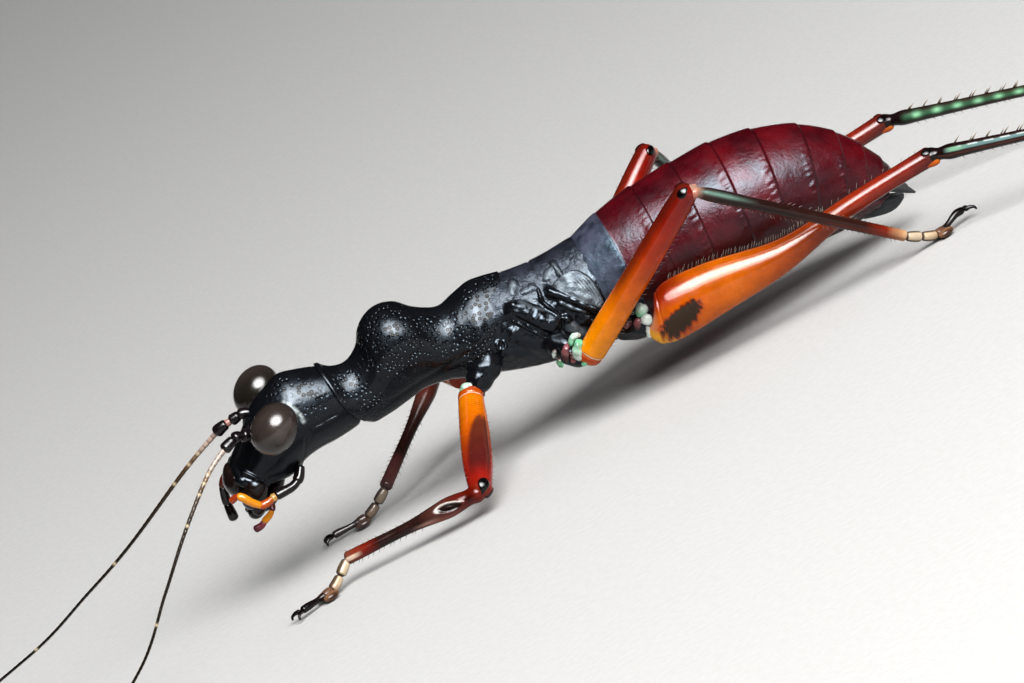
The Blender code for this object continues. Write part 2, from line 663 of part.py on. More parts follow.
def add_spines(tibia, start, end, thigh, side, seed):
    """Two rows of short spines that lean toward the foot, fused to the shin's outer edge."""
    chance = random.Random(seed)
    along = (end - start) / np.linalg.norm(end - start)
    outer = thigh - np.dot(thigh, along) * along
    outer /= np.linalg.norm(outer)
    turn = math.radians(SPINE_ROW_ANGLE)
    thickness = TIBIA_RADII["hind"][-1][1]
    spines = []
    for row in (-1, 1):
        out = outer * math.cos(turn) + side * row * math.sin(turn)
        aim = out + along * SPINE_LEAN
        aim /= np.linalg.norm(aim)
        for fraction in np.linspace(*SPINE_SPAN, SPINES_A_ROW):
            fraction += chance.uniform(-0.012, 0.012) + row * 0.02
            foot = start + (end - start) * fraction + out * (thickness - SPINE_SINK)
            tip = foot + aim * (SPINE_LENGTH + SPINE_SINK) * chance.uniform(0.92, 1.0)
            radii = np.array([[SPINE_RADIUS] * 2, [SPINE_TIP_RADIUS] * 2])
            rings = tube_rings([foot, tip], radii, SPINE_SIDES, np.cross(along, out))
            spines.append(closed_mesh("spine", rings, BROWN))
    boolean(tibia, spines, "UNION")


def make_coxa(leg, pair, coxa, hip, knee, side):
    """The coxa with its end piece, from inside the trunk to a face that meets the thigh's."""
    along = (knee - hip) / np.linalg.norm(knee - hip)
    turning = hip - along * TROCHANTER
    path = np.vstack([placed(coxa[:, :3], TRUNK_PLACE), turning])
    face = np.minimum(FEMUR_RADII[pair][0][1:], TROCHANTER_MOST)
    widths = np.append(coxa[:, 3], face.mean())[:, None].repeat(2, axis=1)
    made = closed_mesh(leg + "_coxa", tube_rings(path, widths, LIMB_SIDES, side), BLACK)
    ball = oval("ball", turning, [face.max() * BALL_SHARE] * 3, BLACK, Matrix(), 0, 12, 7)
    rings = tube_rings([turning, hip - along * GAP / 2], [face, face], LIMB_SIDES, side)
    boolean(made, [ball, closed_mesh("end", rings, BLACK)], "UNION")
    boolean(made, [grown("trunk_cut", LEG_ROOTS, 2)], "DIFFERENCE")


def make_foot(leg, ankle, ahead):
    """A foot with two lobes and two claws, cut flat where it stands on the floor."""
    rows = np.array(FOOT)
    curve = smooth(rows, 1)
    across = np.array([-ahead[1], ahead[0], 0.0])
    path = np.array([ankle[0], ankle[1], 0.0]) + ahead * curve[:, :1]
    path[:, 2] = curve[:, 1]
    path = pulled_back(path, True, GAP / 2)
    path, radii = rounded(path, curve[:, 2:], at_end=True)
    foot = closed_mesh(leg + "_tarsus", tube_rings(path, radii, FEELER_SIDES, across), FOOT_TONE)
    turn = Matrix.Rotation(math.atan2(ahead[1], ahead[0]), 4, "Z")
    parts = []
    for sign in (-1, 1):
        place = Matrix.Translation((ankle[0], ankle[1], 0.0)) @ turn
        pad_at = (PAD_AT, PAD_OUT * sign, PAD_HEIGHT)
        parts.append(oval("pad", pad_at, PAD_RADII, FOOT_TONE, place, 0, 8, 5))
        claw = np.array(CLAW) * CLAW_LENGTH * (1.0, sign, 1.0) + (FOOT[-1][0], 0.0, FOOT[-1][1])
        thick = np.linspace(CLAW_RADIUS, CLAW_TIP_RADIUS, len(claw))
        rings = tube_rings(claw, np.stack([thick, thick], -1), SPINE_SIDES, side=(0.0, 1.0, 0.0))
        parts.append(closed_mesh("claw", placed(rings, place), FOOT_TONE))
    boolean(foot, parts, "UNION")
    mesh = bmesh.new()
    mesh.from_mesh(foot.data)
    everything = [*mesh.verts, *mesh.edges, *mesh.faces]
    bmesh.ops.bisect_plane(mesh, geom=everything, plane_co=(0, 0, 0), plane_no=(0, 0, 1), clear_inner=True)
    bmesh.ops.holes_fill(mesh, edges=[edge for edge in mesh.edges if edge.is_boundary])
    bmesh.ops.recalc_face_normals(mesh, faces=mesh.faces)
    mesh.to_mesh(foot.data)
    mesh.free()


def finish():
    """Rounds the shading and sets the middle of the whole insect's footprint over the origin."""
    low, high = np.full(3, np.inf), np.full(3, -np.inf)
    for item in bpy.data.objects:
        if item.type != "MESH":
            continue
        item.data.shade_smooth()
        item.data.set_sharp_from_angle(angle=math.radians(50))
        points = np.array([vert.co for vert in item.data.vertices])
        low, high = np.minimum(low, points.min(axis=0)), np.maximum(high, points.max(axis=0))
    middle = (low + high) / 2
    ROOT.location = (-middle[0], -middle[1], -low[2])


make_trunk()
make_abdomen()
make_head()
make_mouth()
make_feelers()
make_tail()
for leg_name, places in LEGS.items():
    make_leg(leg_name, *places)
finish()
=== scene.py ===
"""A katydid nymph of the genus Leptoderes, a mimic of tiger beetles, life size on a pale floor.

Sizes are in millimetres until a mesh is made. The trunk and head are given in the insect's
own frame: x to the tail, y to its right, z up. Legs and feelers are given over the floor.
"""

import math

import bpy
import numpy as np
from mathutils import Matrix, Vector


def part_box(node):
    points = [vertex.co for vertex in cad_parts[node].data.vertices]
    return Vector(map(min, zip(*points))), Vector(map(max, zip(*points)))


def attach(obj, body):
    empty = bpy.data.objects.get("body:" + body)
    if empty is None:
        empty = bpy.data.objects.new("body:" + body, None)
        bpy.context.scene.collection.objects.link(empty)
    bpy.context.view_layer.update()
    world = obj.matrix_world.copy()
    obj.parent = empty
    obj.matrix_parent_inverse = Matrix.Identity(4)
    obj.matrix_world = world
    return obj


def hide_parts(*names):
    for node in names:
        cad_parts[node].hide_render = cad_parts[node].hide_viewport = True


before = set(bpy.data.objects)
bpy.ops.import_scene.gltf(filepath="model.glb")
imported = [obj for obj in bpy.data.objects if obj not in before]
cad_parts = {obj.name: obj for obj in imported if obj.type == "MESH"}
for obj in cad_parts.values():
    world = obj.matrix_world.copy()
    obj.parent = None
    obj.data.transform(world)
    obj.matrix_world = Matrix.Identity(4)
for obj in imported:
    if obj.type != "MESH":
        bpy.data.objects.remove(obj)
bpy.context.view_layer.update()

# Neck shield. The real one is a single hard plate of black cuticle that wraps the front of
# the thorax: a collar, a round hump, a smooth saddle and a flared hind lobe. It is polished
# and is pricked with small round pits on the hump and the hind lobe.

MM = 0.001
LEAN = math.radians(4.0)
LIFT = 0.05
NECK = np.array([-5.4, 0.0, 4.4])
HEAD_ROLL, HEAD_YAW = math.radians(7.0), math.radians(2.8)
EYE_AT = np.array([-7.24, 1.55, 5.05])


def turn_x(angle):
    """The rotation matrix about x: y turns toward z."""
    c, s = math.cos(angle), math.sin(angle)
    return np.array([[1, 0, 0], [0, c, -s], [0, s, c]])


def turn_y(angle):
    """The rotation matrix about y: z turns toward x."""
    c, s = math.cos(angle), math.sin(angle)
    return np.array([[c, 0, s], [0, 1, 0], [-s, 0, c]])


def turn_z(angle):
    """The rotation matrix about z: x turns toward y."""
    c, s = math.cos(angle), math.sin(angle)
    return np.array([[c, -s, 0], [s, c, 0], [0, 0, 1]])


def leaned(points):
    """Trunk points over the floor: rolled by LEAN about x, then raised by LIFT."""
    return points @ turn_x(LEAN).T + (0, 0, LIFT)


def nodded(points):
    """Head points over the floor: rolled and turned about NECK, then carried with the trunk."""
    return leaned((points - NECK) @ (turn_z(-HEAD_YAW) @ turn_x(HEAD_ROLL)).T + NECK)


# The model's own origin is found from the left eye, whose centre is known in both frames.
SHIFT = np.mean(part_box("left_eye"), axis=0) / MM - nodded(EYE_AT * (1, -1, 1))
SHIFT[2] = 0.0


def along(rows, u):
    """Catmull-Rom curve through the rows at u from 0 to 1: each span is p1*(2t^3-3t^2+1) +
    m1*(t^3-2t^2+t) + p2*(3t^2-2t^3) + m2*(t^3-t^2), where a slope m is half the step over two rows."""
    rows = np.asarray(rows, float)
    ends = np.vstack([2 * rows[0] - rows[1], rows, 2 * rows[-1] - rows[-2]])
    place = np.clip(u, 0, 1) * (len(rows) - 1)
    k = np.minimum(place.astype(int), len(rows) - 2)
    t = (place - k)[:, None]
    p0, p1, p2, p3 = (ends[k + i] for i in range(4))
    m1, m2 = (p2 - p0) / 2, (p3 - p1) / 2
    return (
        p1 * (2 * t**3 - 3 * t**2 + 1)
        + m1 * (t**3 - 2 * t**2 + t)
        + p2 * (3 * t**2 - 2 * t**3)
        + m2 * (t**3 - t**2)
    )


def ovals(rows, u, sides):
    """Oval sections: point = middle + half * cos(a) + y * width * sin(a) * (1 - pear * cos(a)),
    where half runs from the middle of a section to its back and a goes once round."""
    row = along(rows, u)
    flat = np.zeros(len(row))
    back = np.stack([row[:, 0], flat, row[:, 1]], -1)
    belly = np.stack([row[:, 2], flat, row[:, 3]], -1)
    a = np.linspace(0, 2 * math.pi, sides, endpoint=False)
    rise = np.cos(a)[None, :, None]
    side = np.sin(a)[None] * (1 - row[:, 5:6] * np.cos(a)[None]) * row[:, 4:5]
    grid = ((back + belly) / 2)[:, None] + ((back - belly) / 2)[:, None] * rise
    grid[:, :, 1] += side
    return grid


def outward(grid):
    """Unit normals of a closed sleeve: the cross product of its two steps, turned from its middle."""
    around = np.roll(grid, -1, 1) - np.roll(grid, 1, 1)
    normal = np.cross(around, np.gradient(grid, axis=0))
    normal /= np.linalg.norm(normal, axis=2, keepdims=True) + 1e-12
    out = np.sum(normal * (grid - grid.mean(1, keepdims=True)), axis=(1, 2), keepdims=True)
    return normal * np.sign(out)


def skin(name, grids, surface, **marks):
    """One mesh from closed sleeves, each a grid of rows by sides with a point closing either end.
    The UV map holds the share along the rows and the share around. Marks are values or tints on points."""
    places, faces, corners = [], [], []
    held = {key: [] for key in marks}
    start = 0
    for index, grid in enumerate(grids):
        n, m = grid.shape[:2]
        cell = start + np.arange(n * m).reshape(n, m)
        turned = np.roll(cell, -1, 1)
        first, last = start + n * m, start + n * m + 1
        quads = np.stack([cell[:-1], turned[:-1], turned[1:], cell[1:]], -1).reshape(-1, 4)
        i, j = np.meshgrid(np.arange(n - 1) / (n - 1), np.arange(m) / m, indexing="ij")
        di, dj = 1 / (n - 1), 1 / m
        quad_uv = np.stack([i, j, i, j + dj, i + di, j + dj, i + di, j], -1).reshape(-1, 4, 2)
        j = np.arange(m) / m
        one, nil = np.ones(m), np.zeros(m)
        front = np.stack([turned[0], cell[0], nil + first], -1).astype(int)
        front_uv = np.stack([nil, j + dj, nil, j, nil, j + dj / 2], -1).reshape(-1, 3, 2)
        back = np.stack([cell[-1], turned[-1], nil + last], -1).astype(int)
        back_uv = np.stack([one, j, one, j + dj, one, j + dj / 2], -1).reshape(-1, 3, 2)
        points = np.vstack([grid.reshape(-1, 3), grid[0].mean(0), grid[-1].mean(0)])
        p = points[quads - start]
        volume = np.einsum("ij,ij->i", p[:, 0], np.cross(p[:, 1], p[:, 2])).sum()
        volume += np.einsum("ij,ij->i", p[:, 0], np.cross(p[:, 2], p[:, 3])).sum()
        step = 1 if volume > 0 else -1
        for tiles, uv in ((quads, quad_uv), (front, front_uv), (back, back_uv)):
            faces += tiles[:, ::step].tolist()
            corners.append(uv[:, ::step].reshape(-1, 2))
        places.append(points)
        for key, values in marks.items():
            value = np.asarray(values[index], float)
            value = value if value.ndim == 3 else value[..., None]
            value = np.broadcast_to(value, (n, m, value.shape[-1]))
            held[key].append(np.vstack([value.reshape(n * m, -1), value[0].mean(0), value[-1].mean(0)]))
        start = last + 1
    data = bpy.data.meshes.new(name)
    data.from_pydata((np.vstack(places) + SHIFT) * MM, [], faces)
    data.uv_layers.new(name="UVMap").data.foreach_set("uv", np.vstack(corners).ravel())
    data.polygons.foreach_set("use_smooth", np.ones(len(faces), bool))
    for key, values in held.items():
        values = np.concatenate(values)
        kind, field = ("FLOAT", "value") if values.shape[1] == 1 else ("FLOAT_VECTOR", "vector")
        data.attributes.new(key, kind, "POINT").data.foreach_set(field, values.ravel())
    data.materials.append(surface)
    piece = bpy.data.objects.new(name, data)
    bpy.context.scene.collection.objects.link(piece)
    return piece


def dress(piece, slot, *nodes):
    """Puts a piece on the one body and hides the solids it stands for. The slot is not used."""
    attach(piece, "root")
    if nodes:
        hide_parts(*nodes)


def bell(value, width):
    """A bell curve, 1 where the value is 0: exp(-(value / width)^2)."""
    return np.exp(-((value / width) ** 2))


def bump_field(places, spots):
    """A smooth weight: the largest of height * exp(-(distance / reach)^2) over the spots."""
    weight = np.zeros(places.shape[:-1])
    for centre, reach, height in spots:
        square = ((places - centre) ** 2).sum(-1)
        weight = np.maximum(weight, height * np.exp(-square / reach**2))
    return weight


def node(tree, kind, inputs=None, **settings):
    """A shader node with its settings, its inputs set to values or linked from sockets."""
    made = tree.nodes.new(kind)
    for key, value in settings.items():
        setattr(made, key, value)
    for key, value in (inputs or {}).items():
        if isinstance(value, bpy.types.NodeSocket):
            tree.links.new(value, made.inputs[key])
        else:
            made.inputs[key].default_value = value
    return made


def maths(tree, operation, one, two=0.0):
    """A math node's result, clamped by nothing."""
    return node(tree, "ShaderNodeMath", {0: one, 1: two}, operation=operation).outputs[0]


def fade(tree, value, low, high, to_low=0.0, to_high=1.0):
    """A smooth step of a value from low to high."""
    settings = {"Value": value, "From Min": low, "From Max": high, "To Min": to_low, "To Max": to_high}
    return node(tree, "ShaderNodeMapRange", settings, interpolation_type="SMOOTHSTEP").outputs["Result"]


def blend(tree, share, one, two):
    """Mixes two colours by a share from 0 to 1."""
    return node(tree, "ShaderNodeMix", {0: share, 6: one, 7: two}, data_type="RGBA").outputs[2]


def mark(tree, name):
    """The value that a piece's own attribute holds."""
    return node(tree, "ShaderNodeAttribute", attribute_name=name).outputs["Fac"]


def noise(tree, scale, detail=3.0, rough=0.55, where=None):
    """A noise value on the piece's own coordinates, in cells a metre."""
    where = where or node(tree, "ShaderNodeTexCoord").outputs["Object"]
    settings = {"Vector": where, "Scale": scale, "Detail": detail, "Roughness": rough}
    return node(tree, "ShaderNodeTexNoise", settings).outputs["Fac"]


def finish(name, colour, roughness, coat=0.0, coat_roughness=0.05, gloss=0.5):
    """A new material with its plain values on the shader's own sockets: (material, tree, shader)."""
    made = bpy.data.materials.new(name)
    made.use_nodes = True
    tree = made.node_tree
    shader = tree.nodes["Principled BSDF"]
    shader.inputs["Base Color"].default_value = (*colour, 1.0)
    shader.inputs["Roughness"].default_value = roughness
    shader.inputs["Coat Weight"].default_value = coat
    shader.inputs["Coat Roughness"].default_value = coat_roughness
    shader.inputs["Specular IOR Level"].default_value = gloss
    return made, tree, shader


def raise_by(tree, shader, height, distance, strength=1.0):
    """Feeds a height, in the given distance, through a Bump node to the shader's normal."""
    bump = node(tree, "ShaderNodeBump", {"Height": height, "Distance": distance, "Strength": strength})
    tree.links.new(bump.outputs["Normal"], shader.inputs["Normal"])


def pit_group():
    """Round pits: each Voronoi cell's distance, squared, is a bowl, deep where Mask is high. Fine
    grain lies over all. Hollow is 1 inside a pit."""
    group = bpy.data.node_groups.new("round_pits", "ShaderNodeTree")
    for name in ("Scale", "Mask", "Grain"):
        group.interface.new_socket(name, in_out="INPUT", socket_type="NodeSocketFloat")
    group.interface.new_socket("Height", in_out="OUTPUT", socket_type="NodeSocketFloat")
    group.interface.new_socket("Hollow", in_out="OUTPUT", socket_type="NodeSocketFloat")
    ins, outs = group.nodes.new("NodeGroupInput"), group.nodes.new("NodeGroupOutput")
    where = node(group, "ShaderNodeTexCoord").outputs["Object"]
    settings = {"Vector": where, "Scale": ins.outputs["Scale"], "Randomness": 0.72}
    cells = node(group, "ShaderNodeTexVoronoi", settings)
    near = maths(group, "MINIMUM", maths(group, "DIVIDE", cells.outputs["Distance"], 0.47), 1.0)
    shape = maths(group, "SUBTRACT", maths(group, "MULTIPLY", near, near), 1.0)
    kept = maths(group, "MULTIPLY", shape, ins.outputs["Mask"])
    grain = maths(group, "MULTIPLY", noise(group, 9000.0), ins.outputs["Grain"])
    group.links.new(maths(group, "ADD", kept, grain), outs.inputs["Height"])
    group.links.new(fade(group, kept, -0.05, -0.35), outs.inputs["Hollow"])
    return group


PITS = pit_group()

# Each section of the trunk: x, z on the back, x, z on the belly, half-width, how pear-shaped.
SHIELD = (
    (-5.33, 5.46, -5.13, 3.26, 0.88, 0.05),
    (-5.27, 5.52, -5.07, 3.20, 0.95, 0.05),
    (-4.90, 5.22, -4.75, 3.06, 0.88, 0.05),
    (-4.45, 5.12, -4.35, 3.05, 0.86, 0.05),
    (-3.98, 5.36, -3.95, 3.06, 0.93, 0.00),
    (-3.66, 5.80, -3.55, 3.10, 1.04, -0.06),
    (-3.28, 6.06, -3.15, 3.15, 1.12, -0.10),
    (-2.82, 6.148, -2.80, 3.20, 1.15, -0.10),
    (-2.32, 5.98, -2.45, 3.15, 1.10, -0.06),
    (-1.86, 5.52, -2.15, 3.08, 1.01, 0.00),
    (-1.25, 5.18, -1.80, 3.00, 0.97, 0.05),
    (-0.68, 5.28, -1.50, 2.90, 1.05, 0.12),
    (-0.12, 5.39, -1.20, 2.78, 1.17, 0.24),
    (0.36, 5.32, -1.15, 2.72, 1.16, 0.28),
    (0.84, 5.19, -1.10, 2.70, 1.12, 0.26),
)
SHIELD_ROWS, SHIELD_SIDES = 420, 200
LIP_FORWARD, LIP_IN, LIP_ROWS = 0.14, 0.35, 6          # the hind edge, turned forward and in
COLLAR_BACK, COLLAR_END = 0.30, -4.1                # the collar, drawn back low down
COLLAR_TOP, COLLAR_DEPTH = 4.55, 1.3
COLLAR_BEAD_AT, COLLAR_BEAD = -5.2, 0.028           # the bead along its front edge
SIDE_FOLD_AT, SIDE_FOLD = 3.62, 0.035               # the groove along the shield's lower side
# Where the pits are deep: middle on the left side, reach, weight.
HUMP_PITS = (
    ((-3.0, -0.5, 5.7), 0.80, 1.0),
    ((-3.1, -0.9, 5.2), 0.90, 1.1),
    ((-3.0, -1.1, 4.6), 0.70, 1.0),
    ((-2.2, -0.9, 4.9), 0.65, 1.0),
    ((-1.7, -0.9, 4.4), 0.50, 0.9),
    ((0.3, -0.6, 5.0), 0.70, 1.0),
    ((0.2, -1.0, 4.5), 0.80, 1.1),
    ((-0.4, -1.1, 4.1), 0.80, 1.1),
    ((-0.9, -1.0, 3.6), 0.60, 1.0),
    ((-4.8, -0.8, 4.7), 0.45, 0.7),
    ((-4.3, -0.8, 3.7), 0.60, 0.8),
)


def both_sides(spots):
    """The spots and their mirror images."""
    other = [((x, -y, z), reach, height) for (x, y, z), reach, height in spots]
    return [*spots, *other]


def shield_grid():
    """The shield's ovals, their front edge drawn back low down, the hind edge turned in to a lip."""
    grid = ovals(SHIELD, np.linspace(0, 1, SHIELD_ROWS), SHIELD_SIDES)
    low = np.clip((COLLAR_TOP - grid[:, :, 2]) / COLLAR_DEPTH, 0, 1) ** 1.6
    grid[:, :, 0] += COLLAR_BACK * low * np.clip(COLLAR_END - grid[:, :, 0], 0, 1)
    x = grid[:, :, 0] - COLLAR_BACK * low * np.clip(COLLAR_END - grid[:, :, 0], 0, 1)
    fold = bell(grid[:, :, 2] - SIDE_FOLD_AT - 0.06 * (x + 3), 0.10)
    fold *= (np.abs(grid[:, :, 1]) > 0.3) * np.clip((x + 4.6) / 0.6, 0, 1)
    swell = COLLAR_BEAD * bell(x - COLLAR_BEAD_AT, 0.06) - SIDE_FOLD * fold
    grid += outward(grid) * swell[:, :, None]
    lip = np.repeat(grid[-1:], LIP_ROWS, axis=0)
    depth = np.linspace(0, 1, LIP_ROWS)[:, None, None]
    lip = lip + (lip.mean(1, keepdims=True) - lip) * depth * LIP_IN
    lip[:, :, 0] -= LIP_FORWARD * depth[:, :, 0] ** 0.5
    return np.vstack([grid, lip[1:]])


DEEP_BLACK = (0.0030, 0.0032, 0.0042)
BLUE_SHEEN = (0.66, 0.83, 1.0, 1.0)


def black_cuticle(name, pits, grain, roughness, colour=DEEP_BLACK):
    """Polished black cuticle: broad sheen under a thin clear layer, pitted where the mark says."""
    made, tree, shader = finish(name, colour, roughness, 0.14, 0.05, 0.19)
    shader.inputs["Specular Tint"].default_value = BLUE_SHEEN
    pitted = node(tree, "ShaderNodeGroup", node_tree=PITS)
    pitted.inputs["Scale"].default_value = pits
    pitted.inputs["Grain"].default_value = grain
    tree.links.new(mark(tree, "pits"), pitted.inputs["Mask"])
    raise_by(tree, shader, pitted.outputs["Height"], 0.00006)
    rough = fade(tree, noise(tree, 1400.0), 0.3, 0.7, roughness - 0.06, roughness + 0.10)
    smooth = maths(tree, "MULTIPLY", pitted.outputs["Hollow"], 0.7 * roughness)
    tree.links.new(maths(tree, "SUBTRACT", rough, smooth), shader.inputs["Roughness"])
    return made


SHIELD_BLACK = black_cuticle("shield_black", 7000.0, 0.10, 0.24)
grid = shield_grid()
pits = bump_field(grid, both_sides(HUMP_PITS))
shield = skin("neck_shield", [leaned(grid)], SHIELD_BLACK, pits=[pits])
dress(shield, "black_cuticle", "prothorax")

# Hind thorax. The real one is built of many hard plates with soft creases between them: two
# short back plates, the wing pads folded over the flanks, rolled ridges over the leg roots.
# The back is satin, the ridges are polished. They are one skin, pushed up into each plate.

THORAX = (
    (-1.60, 5.02, -2.00, 3.05, 0.88, 0.02),
    (-0.68, 5.10, -1.50, 2.82, 0.96, 0.05),
    (0.10, 5.20, -1.00, 2.66, 1.06, 0.06),
    (0.84, 5.12, -0.60, 2.48, 1.13, 0.08),
    (1.30, 5.04, 0.10, 2.20, 1.17, 0.10),
    (1.75, 4.98, 0.90, 1.95, 1.23, 0.12),
    (2.42, 4.95, 1.90, 1.72, 1.31, 0.12),
    (3.09, 4.97, 2.95, 1.55, 1.40, 0.10),
    (3.40, 4.95, 3.30, 1.50, 1.40, 0.10),
)
THORAX_ROWS, THORAX_SIDES = 300, 320
# Each form on the flank: x, z points, half-width, height, kind.
FLANK_FORMS = (
    (((1.71, 5.20), (1.74, 4.80), (1.60, 4.42)), 0.045, -0.07, "line"),
    (((1.60, 4.42), (1.50, 4.02), (1.70, 3.58), (1.79, 3.33)), 0.042, 0.075, "line"),
    (((1.04, 4.76), (0.88, 4.64)), 0.17, 0.045, "roll"),
    (((1.14, 4.47), (1.50, 4.47)), 0.13, 0.03, "roll"),
    (((0.56, 4.50), (1.05, 4.40), (1.45, 4.30)), 0.045, -0.06, "line"),
    (((0.66, 4.22), (0.94, 3.89), (1.23, 3.50), (1.44, 3.28)), 0.37, 0.19, "roll"),
    (((0.72, 4.36), (1.02, 4.16), (1.36, 3.86)), 0.10, 0.035, "line"),
    (((1.78, 3.30), (1.64, 3.03), (1.33, 3.06), (1.07, 3.36), (0.53, 4.12)), 0.035, -0.04, "line"),
    (((0.46, 3.94), (0.75, 3.52), (0.98, 3.17), (1.20, 2.86)), 0.045, 0.08, "line"),
    (((0.58, 3.98), (0.87, 3.58), (1.11, 3.22), (1.32, 2.92)), 0.05, -0.05, "line"),
    (((1.88, 3.24), (1.91, 3.18)), 0.16, 0.14, "roll"),
    (((1.84, 3.00), (2.12, 2.55)), 0.32, 0.07, "roll"),
    (((2.28, 4.62), (2.04, 4.55), (1.90, 4.42)), 0.17, 0.045, "roll"),
    (((2.36, 4.68), (2.40, 4.42)), 0.15, 0.055, "roll"),
    (((1.74, 4.46), (2.10, 4.32), (2.38, 4.27), (2.63, 4.16), (2.84, 4.22)), 0.042, -0.10, "line"),
    (((2.54, 4.60), (2.52, 4.36), (2.64, 4.18)), 0.05, -0.08, "line"),
    (((1.78, 4.50), (2.00, 4.70), (2.24, 4.74)), 0.035, -0.05, "line"),
    (((1.86, 4.14), (2.22, 3.78), (2.52, 3.39), (2.88, 2.93)), 0.20, 0.17, "roll"),
    (((1.96, 3.75), (2.20, 3.42), (2.52, 3.13)), 0.11, 0.08, "roll"),
    (((2.30, 2.95), (2.85, 2.30)), 0.30, 0.10, "roll"),
    (((-0.60, 3.75), (-0.15, 3.20), (0.25, 2.85)), 0.30, 0.10, "roll"),
    (((0.30, 3.60), (0.62, 3.05), (0.90, 2.60)), 0.28, 0.08, "roll"),
    (((0.30, 4.35), (0.10, 3.90), (-0.30, 3.40), (-0.70, 3.05)), 0.06, -0.06, "line"),
)
FAN_ROOT = (1.98, 4.25)
FAN_RIM = ((-58, 0.20), (-51, 1.55), (-45, 1.59), (-32, 1.37), (-16, 1.18), (0, 0.95), (7, 0.78), (16, 0.20))
FAN_HEIGHT = 0.15
# Where the flank gets a painted grey highlight: x, z points and half-width.
SHEEN_PATCHES = (
    (((0.90, 4.32), (1.02, 4.20), (1.12, 4.06)), 0.09),
    (((1.10, 4.04), (1.42, 3.80)), 0.07),
    (((1.02, 4.78), (0.88, 4.66)), 0.13),
    (((1.24, 4.46), (1.52, 4.46)), 0.08),
    (((2.20, 4.62), (1.96, 4.50)), 0.13),
    (((2.36, 4.66), (2.39, 4.46)), 0.10),
    (((1.98, 3.74), (2.19, 3.45), (2.46, 3.18)), 0.07),
    (((1.90, 2.94), (2.12, 2.64)), 0.20),
)
BREATHING_HOLE, HOLE_RADIUS, HOLE_RIM = (-0.18, 3.49), 0.13, 0.06
PLATE_EDGE, PLATE_GROOVE = ((1.79, 5.3), (1.77, 4.7)), 0.04


def reach_to(places, line):
    """Distance in the x-z plane from each place to a broken line: the least over its pieces."""
    flat = places[..., [0, 2]]
    best = np.full(flat.shape[:-1], np.inf)
    for one, two in zip(np.array(line[:-1]), np.array(line[1:])):
        step = two - one
        share = np.clip(((flat - one) @ step) / (step @ step), 0, 1)
        best = np.minimum(best, np.linalg.norm(flat - one - share[..., None] * step, axis=-1))
    return best


def relief(places, forms):
    """Heights: a roll is height * (1 - (d / w)^2)^1.3, a line is height * exp(-(d / w)^2). Rolls
    that overlap keep the higher, and lines add to them."""
    rolls = np.zeros(places.shape[:-1])
    lines = np.zeros(places.shape[:-1])
    for line, width, height, kind in forms:
        d = reach_to(places, line) / width
        if kind == "roll":
            rolls = np.maximum(rolls, height * np.clip(1 - d**2, 0, 1) ** 1.3)
        else:
            lines += height * bell(d, 1)
    return rolls + lines


def fan_relief(places):
    """The hind wing pad: a fan about its root, whose rim distance R depends on the angle. Height is
    a smooth step inside the rim, with fine folds that follow the rim in its low hind corner."""
    dx, dz = places[..., 0] - FAN_ROOT[0], places[..., 2] - FAN_ROOT[1]
    angle = np.degrees(np.arctan2(dz, dx))
    reach = np.hypot(dx, dz)
    rim = np.interp(angle, *np.array(FAN_RIM).T, left=0, right=0)
    inside = np.clip((rim - reach) / 0.07, 0, 1)
    step = inside * inside * (3 - 2 * inside) * np.clip(reach / 0.5, 0, 1) ** 0.5
    folds = np.cos(2 * math.pi * (rim - reach) / 0.10 + 0.5 * np.sin(angle * 0.3))
    folds *= bell(rim - reach - 0.25, 0.22) * np.clip((-angle - 2) / 18, 0, 1)
    veins = 0.012 * np.cos(24 * np.radians(angle)) * np.clip(reach - 0.2, 0, 1)
    return step * (FAN_HEIGHT + 0.018 * folds + veins), step


grid = ovals(THORAX, np.linspace(0, 1, THORAX_ROWS), THORAX_SIDES)
flank = np.clip((np.abs(grid[:, :, 1]) - 0.25) / 0.35, 0, 1)
fan, fan_inside = fan_relief(grid)
x, z = grid[..., 0], grid[..., 2]
# Two sizes of crumpled skin, then a fine one: sines whose own phase is bent by a sine.
crumple = np.sin(7.1 * x + 3.0 * np.sin(4.3 * z)) * np.sin(8.3 * z - 2.0 * np.sin(5.2 * x))
crumple += 0.5 * np.sin(15.0 * x - 9.0 * z) * np.sin(11.0 * z + 6.0 * x)
fine = 0.004 * np.sin(31 * x + 8 * np.sin(9 * z)) * np.sin(27 * z)
from_hole = np.hypot(x - BREATHING_HOLE[0], z - BREATHING_HOLE[1])
swell = relief(grid, FLANK_FORMS) + fine + HOLE_RIM * bell(from_hole - HOLE_RADIUS, 0.045)
groove = PLATE_GROOVE * bell(reach_to(grid, PLATE_EDGE), 0.04)
swell = np.maximum(swell * flank, fan * flank) - groove * (1 - flank) + 0.012 * crumple * flank
polish = np.clip(relief(grid, [form for form in FLANK_FORMS if form[3] == "roll"]) / 0.08, 0, 1) * flank
polish = np.clip(polish + np.clip((4.35 - z) / 0.3, 0, 1), 0, 1)
# Painted highlight: a grey sheen over the hind wing pad and the listed patches, where the lamp's reflection
# falls.
bloom = fan_inside * flank
for line, width in SHEEN_PATCHES:
    bloom = np.maximum(bloom, np.clip((width - reach_to(grid, line)) / 0.12, 0, 1) * 0.7 * flank)
polish = polish * (1 - bloom)
grid = grid + outward(grid) * swell[:, :, None]


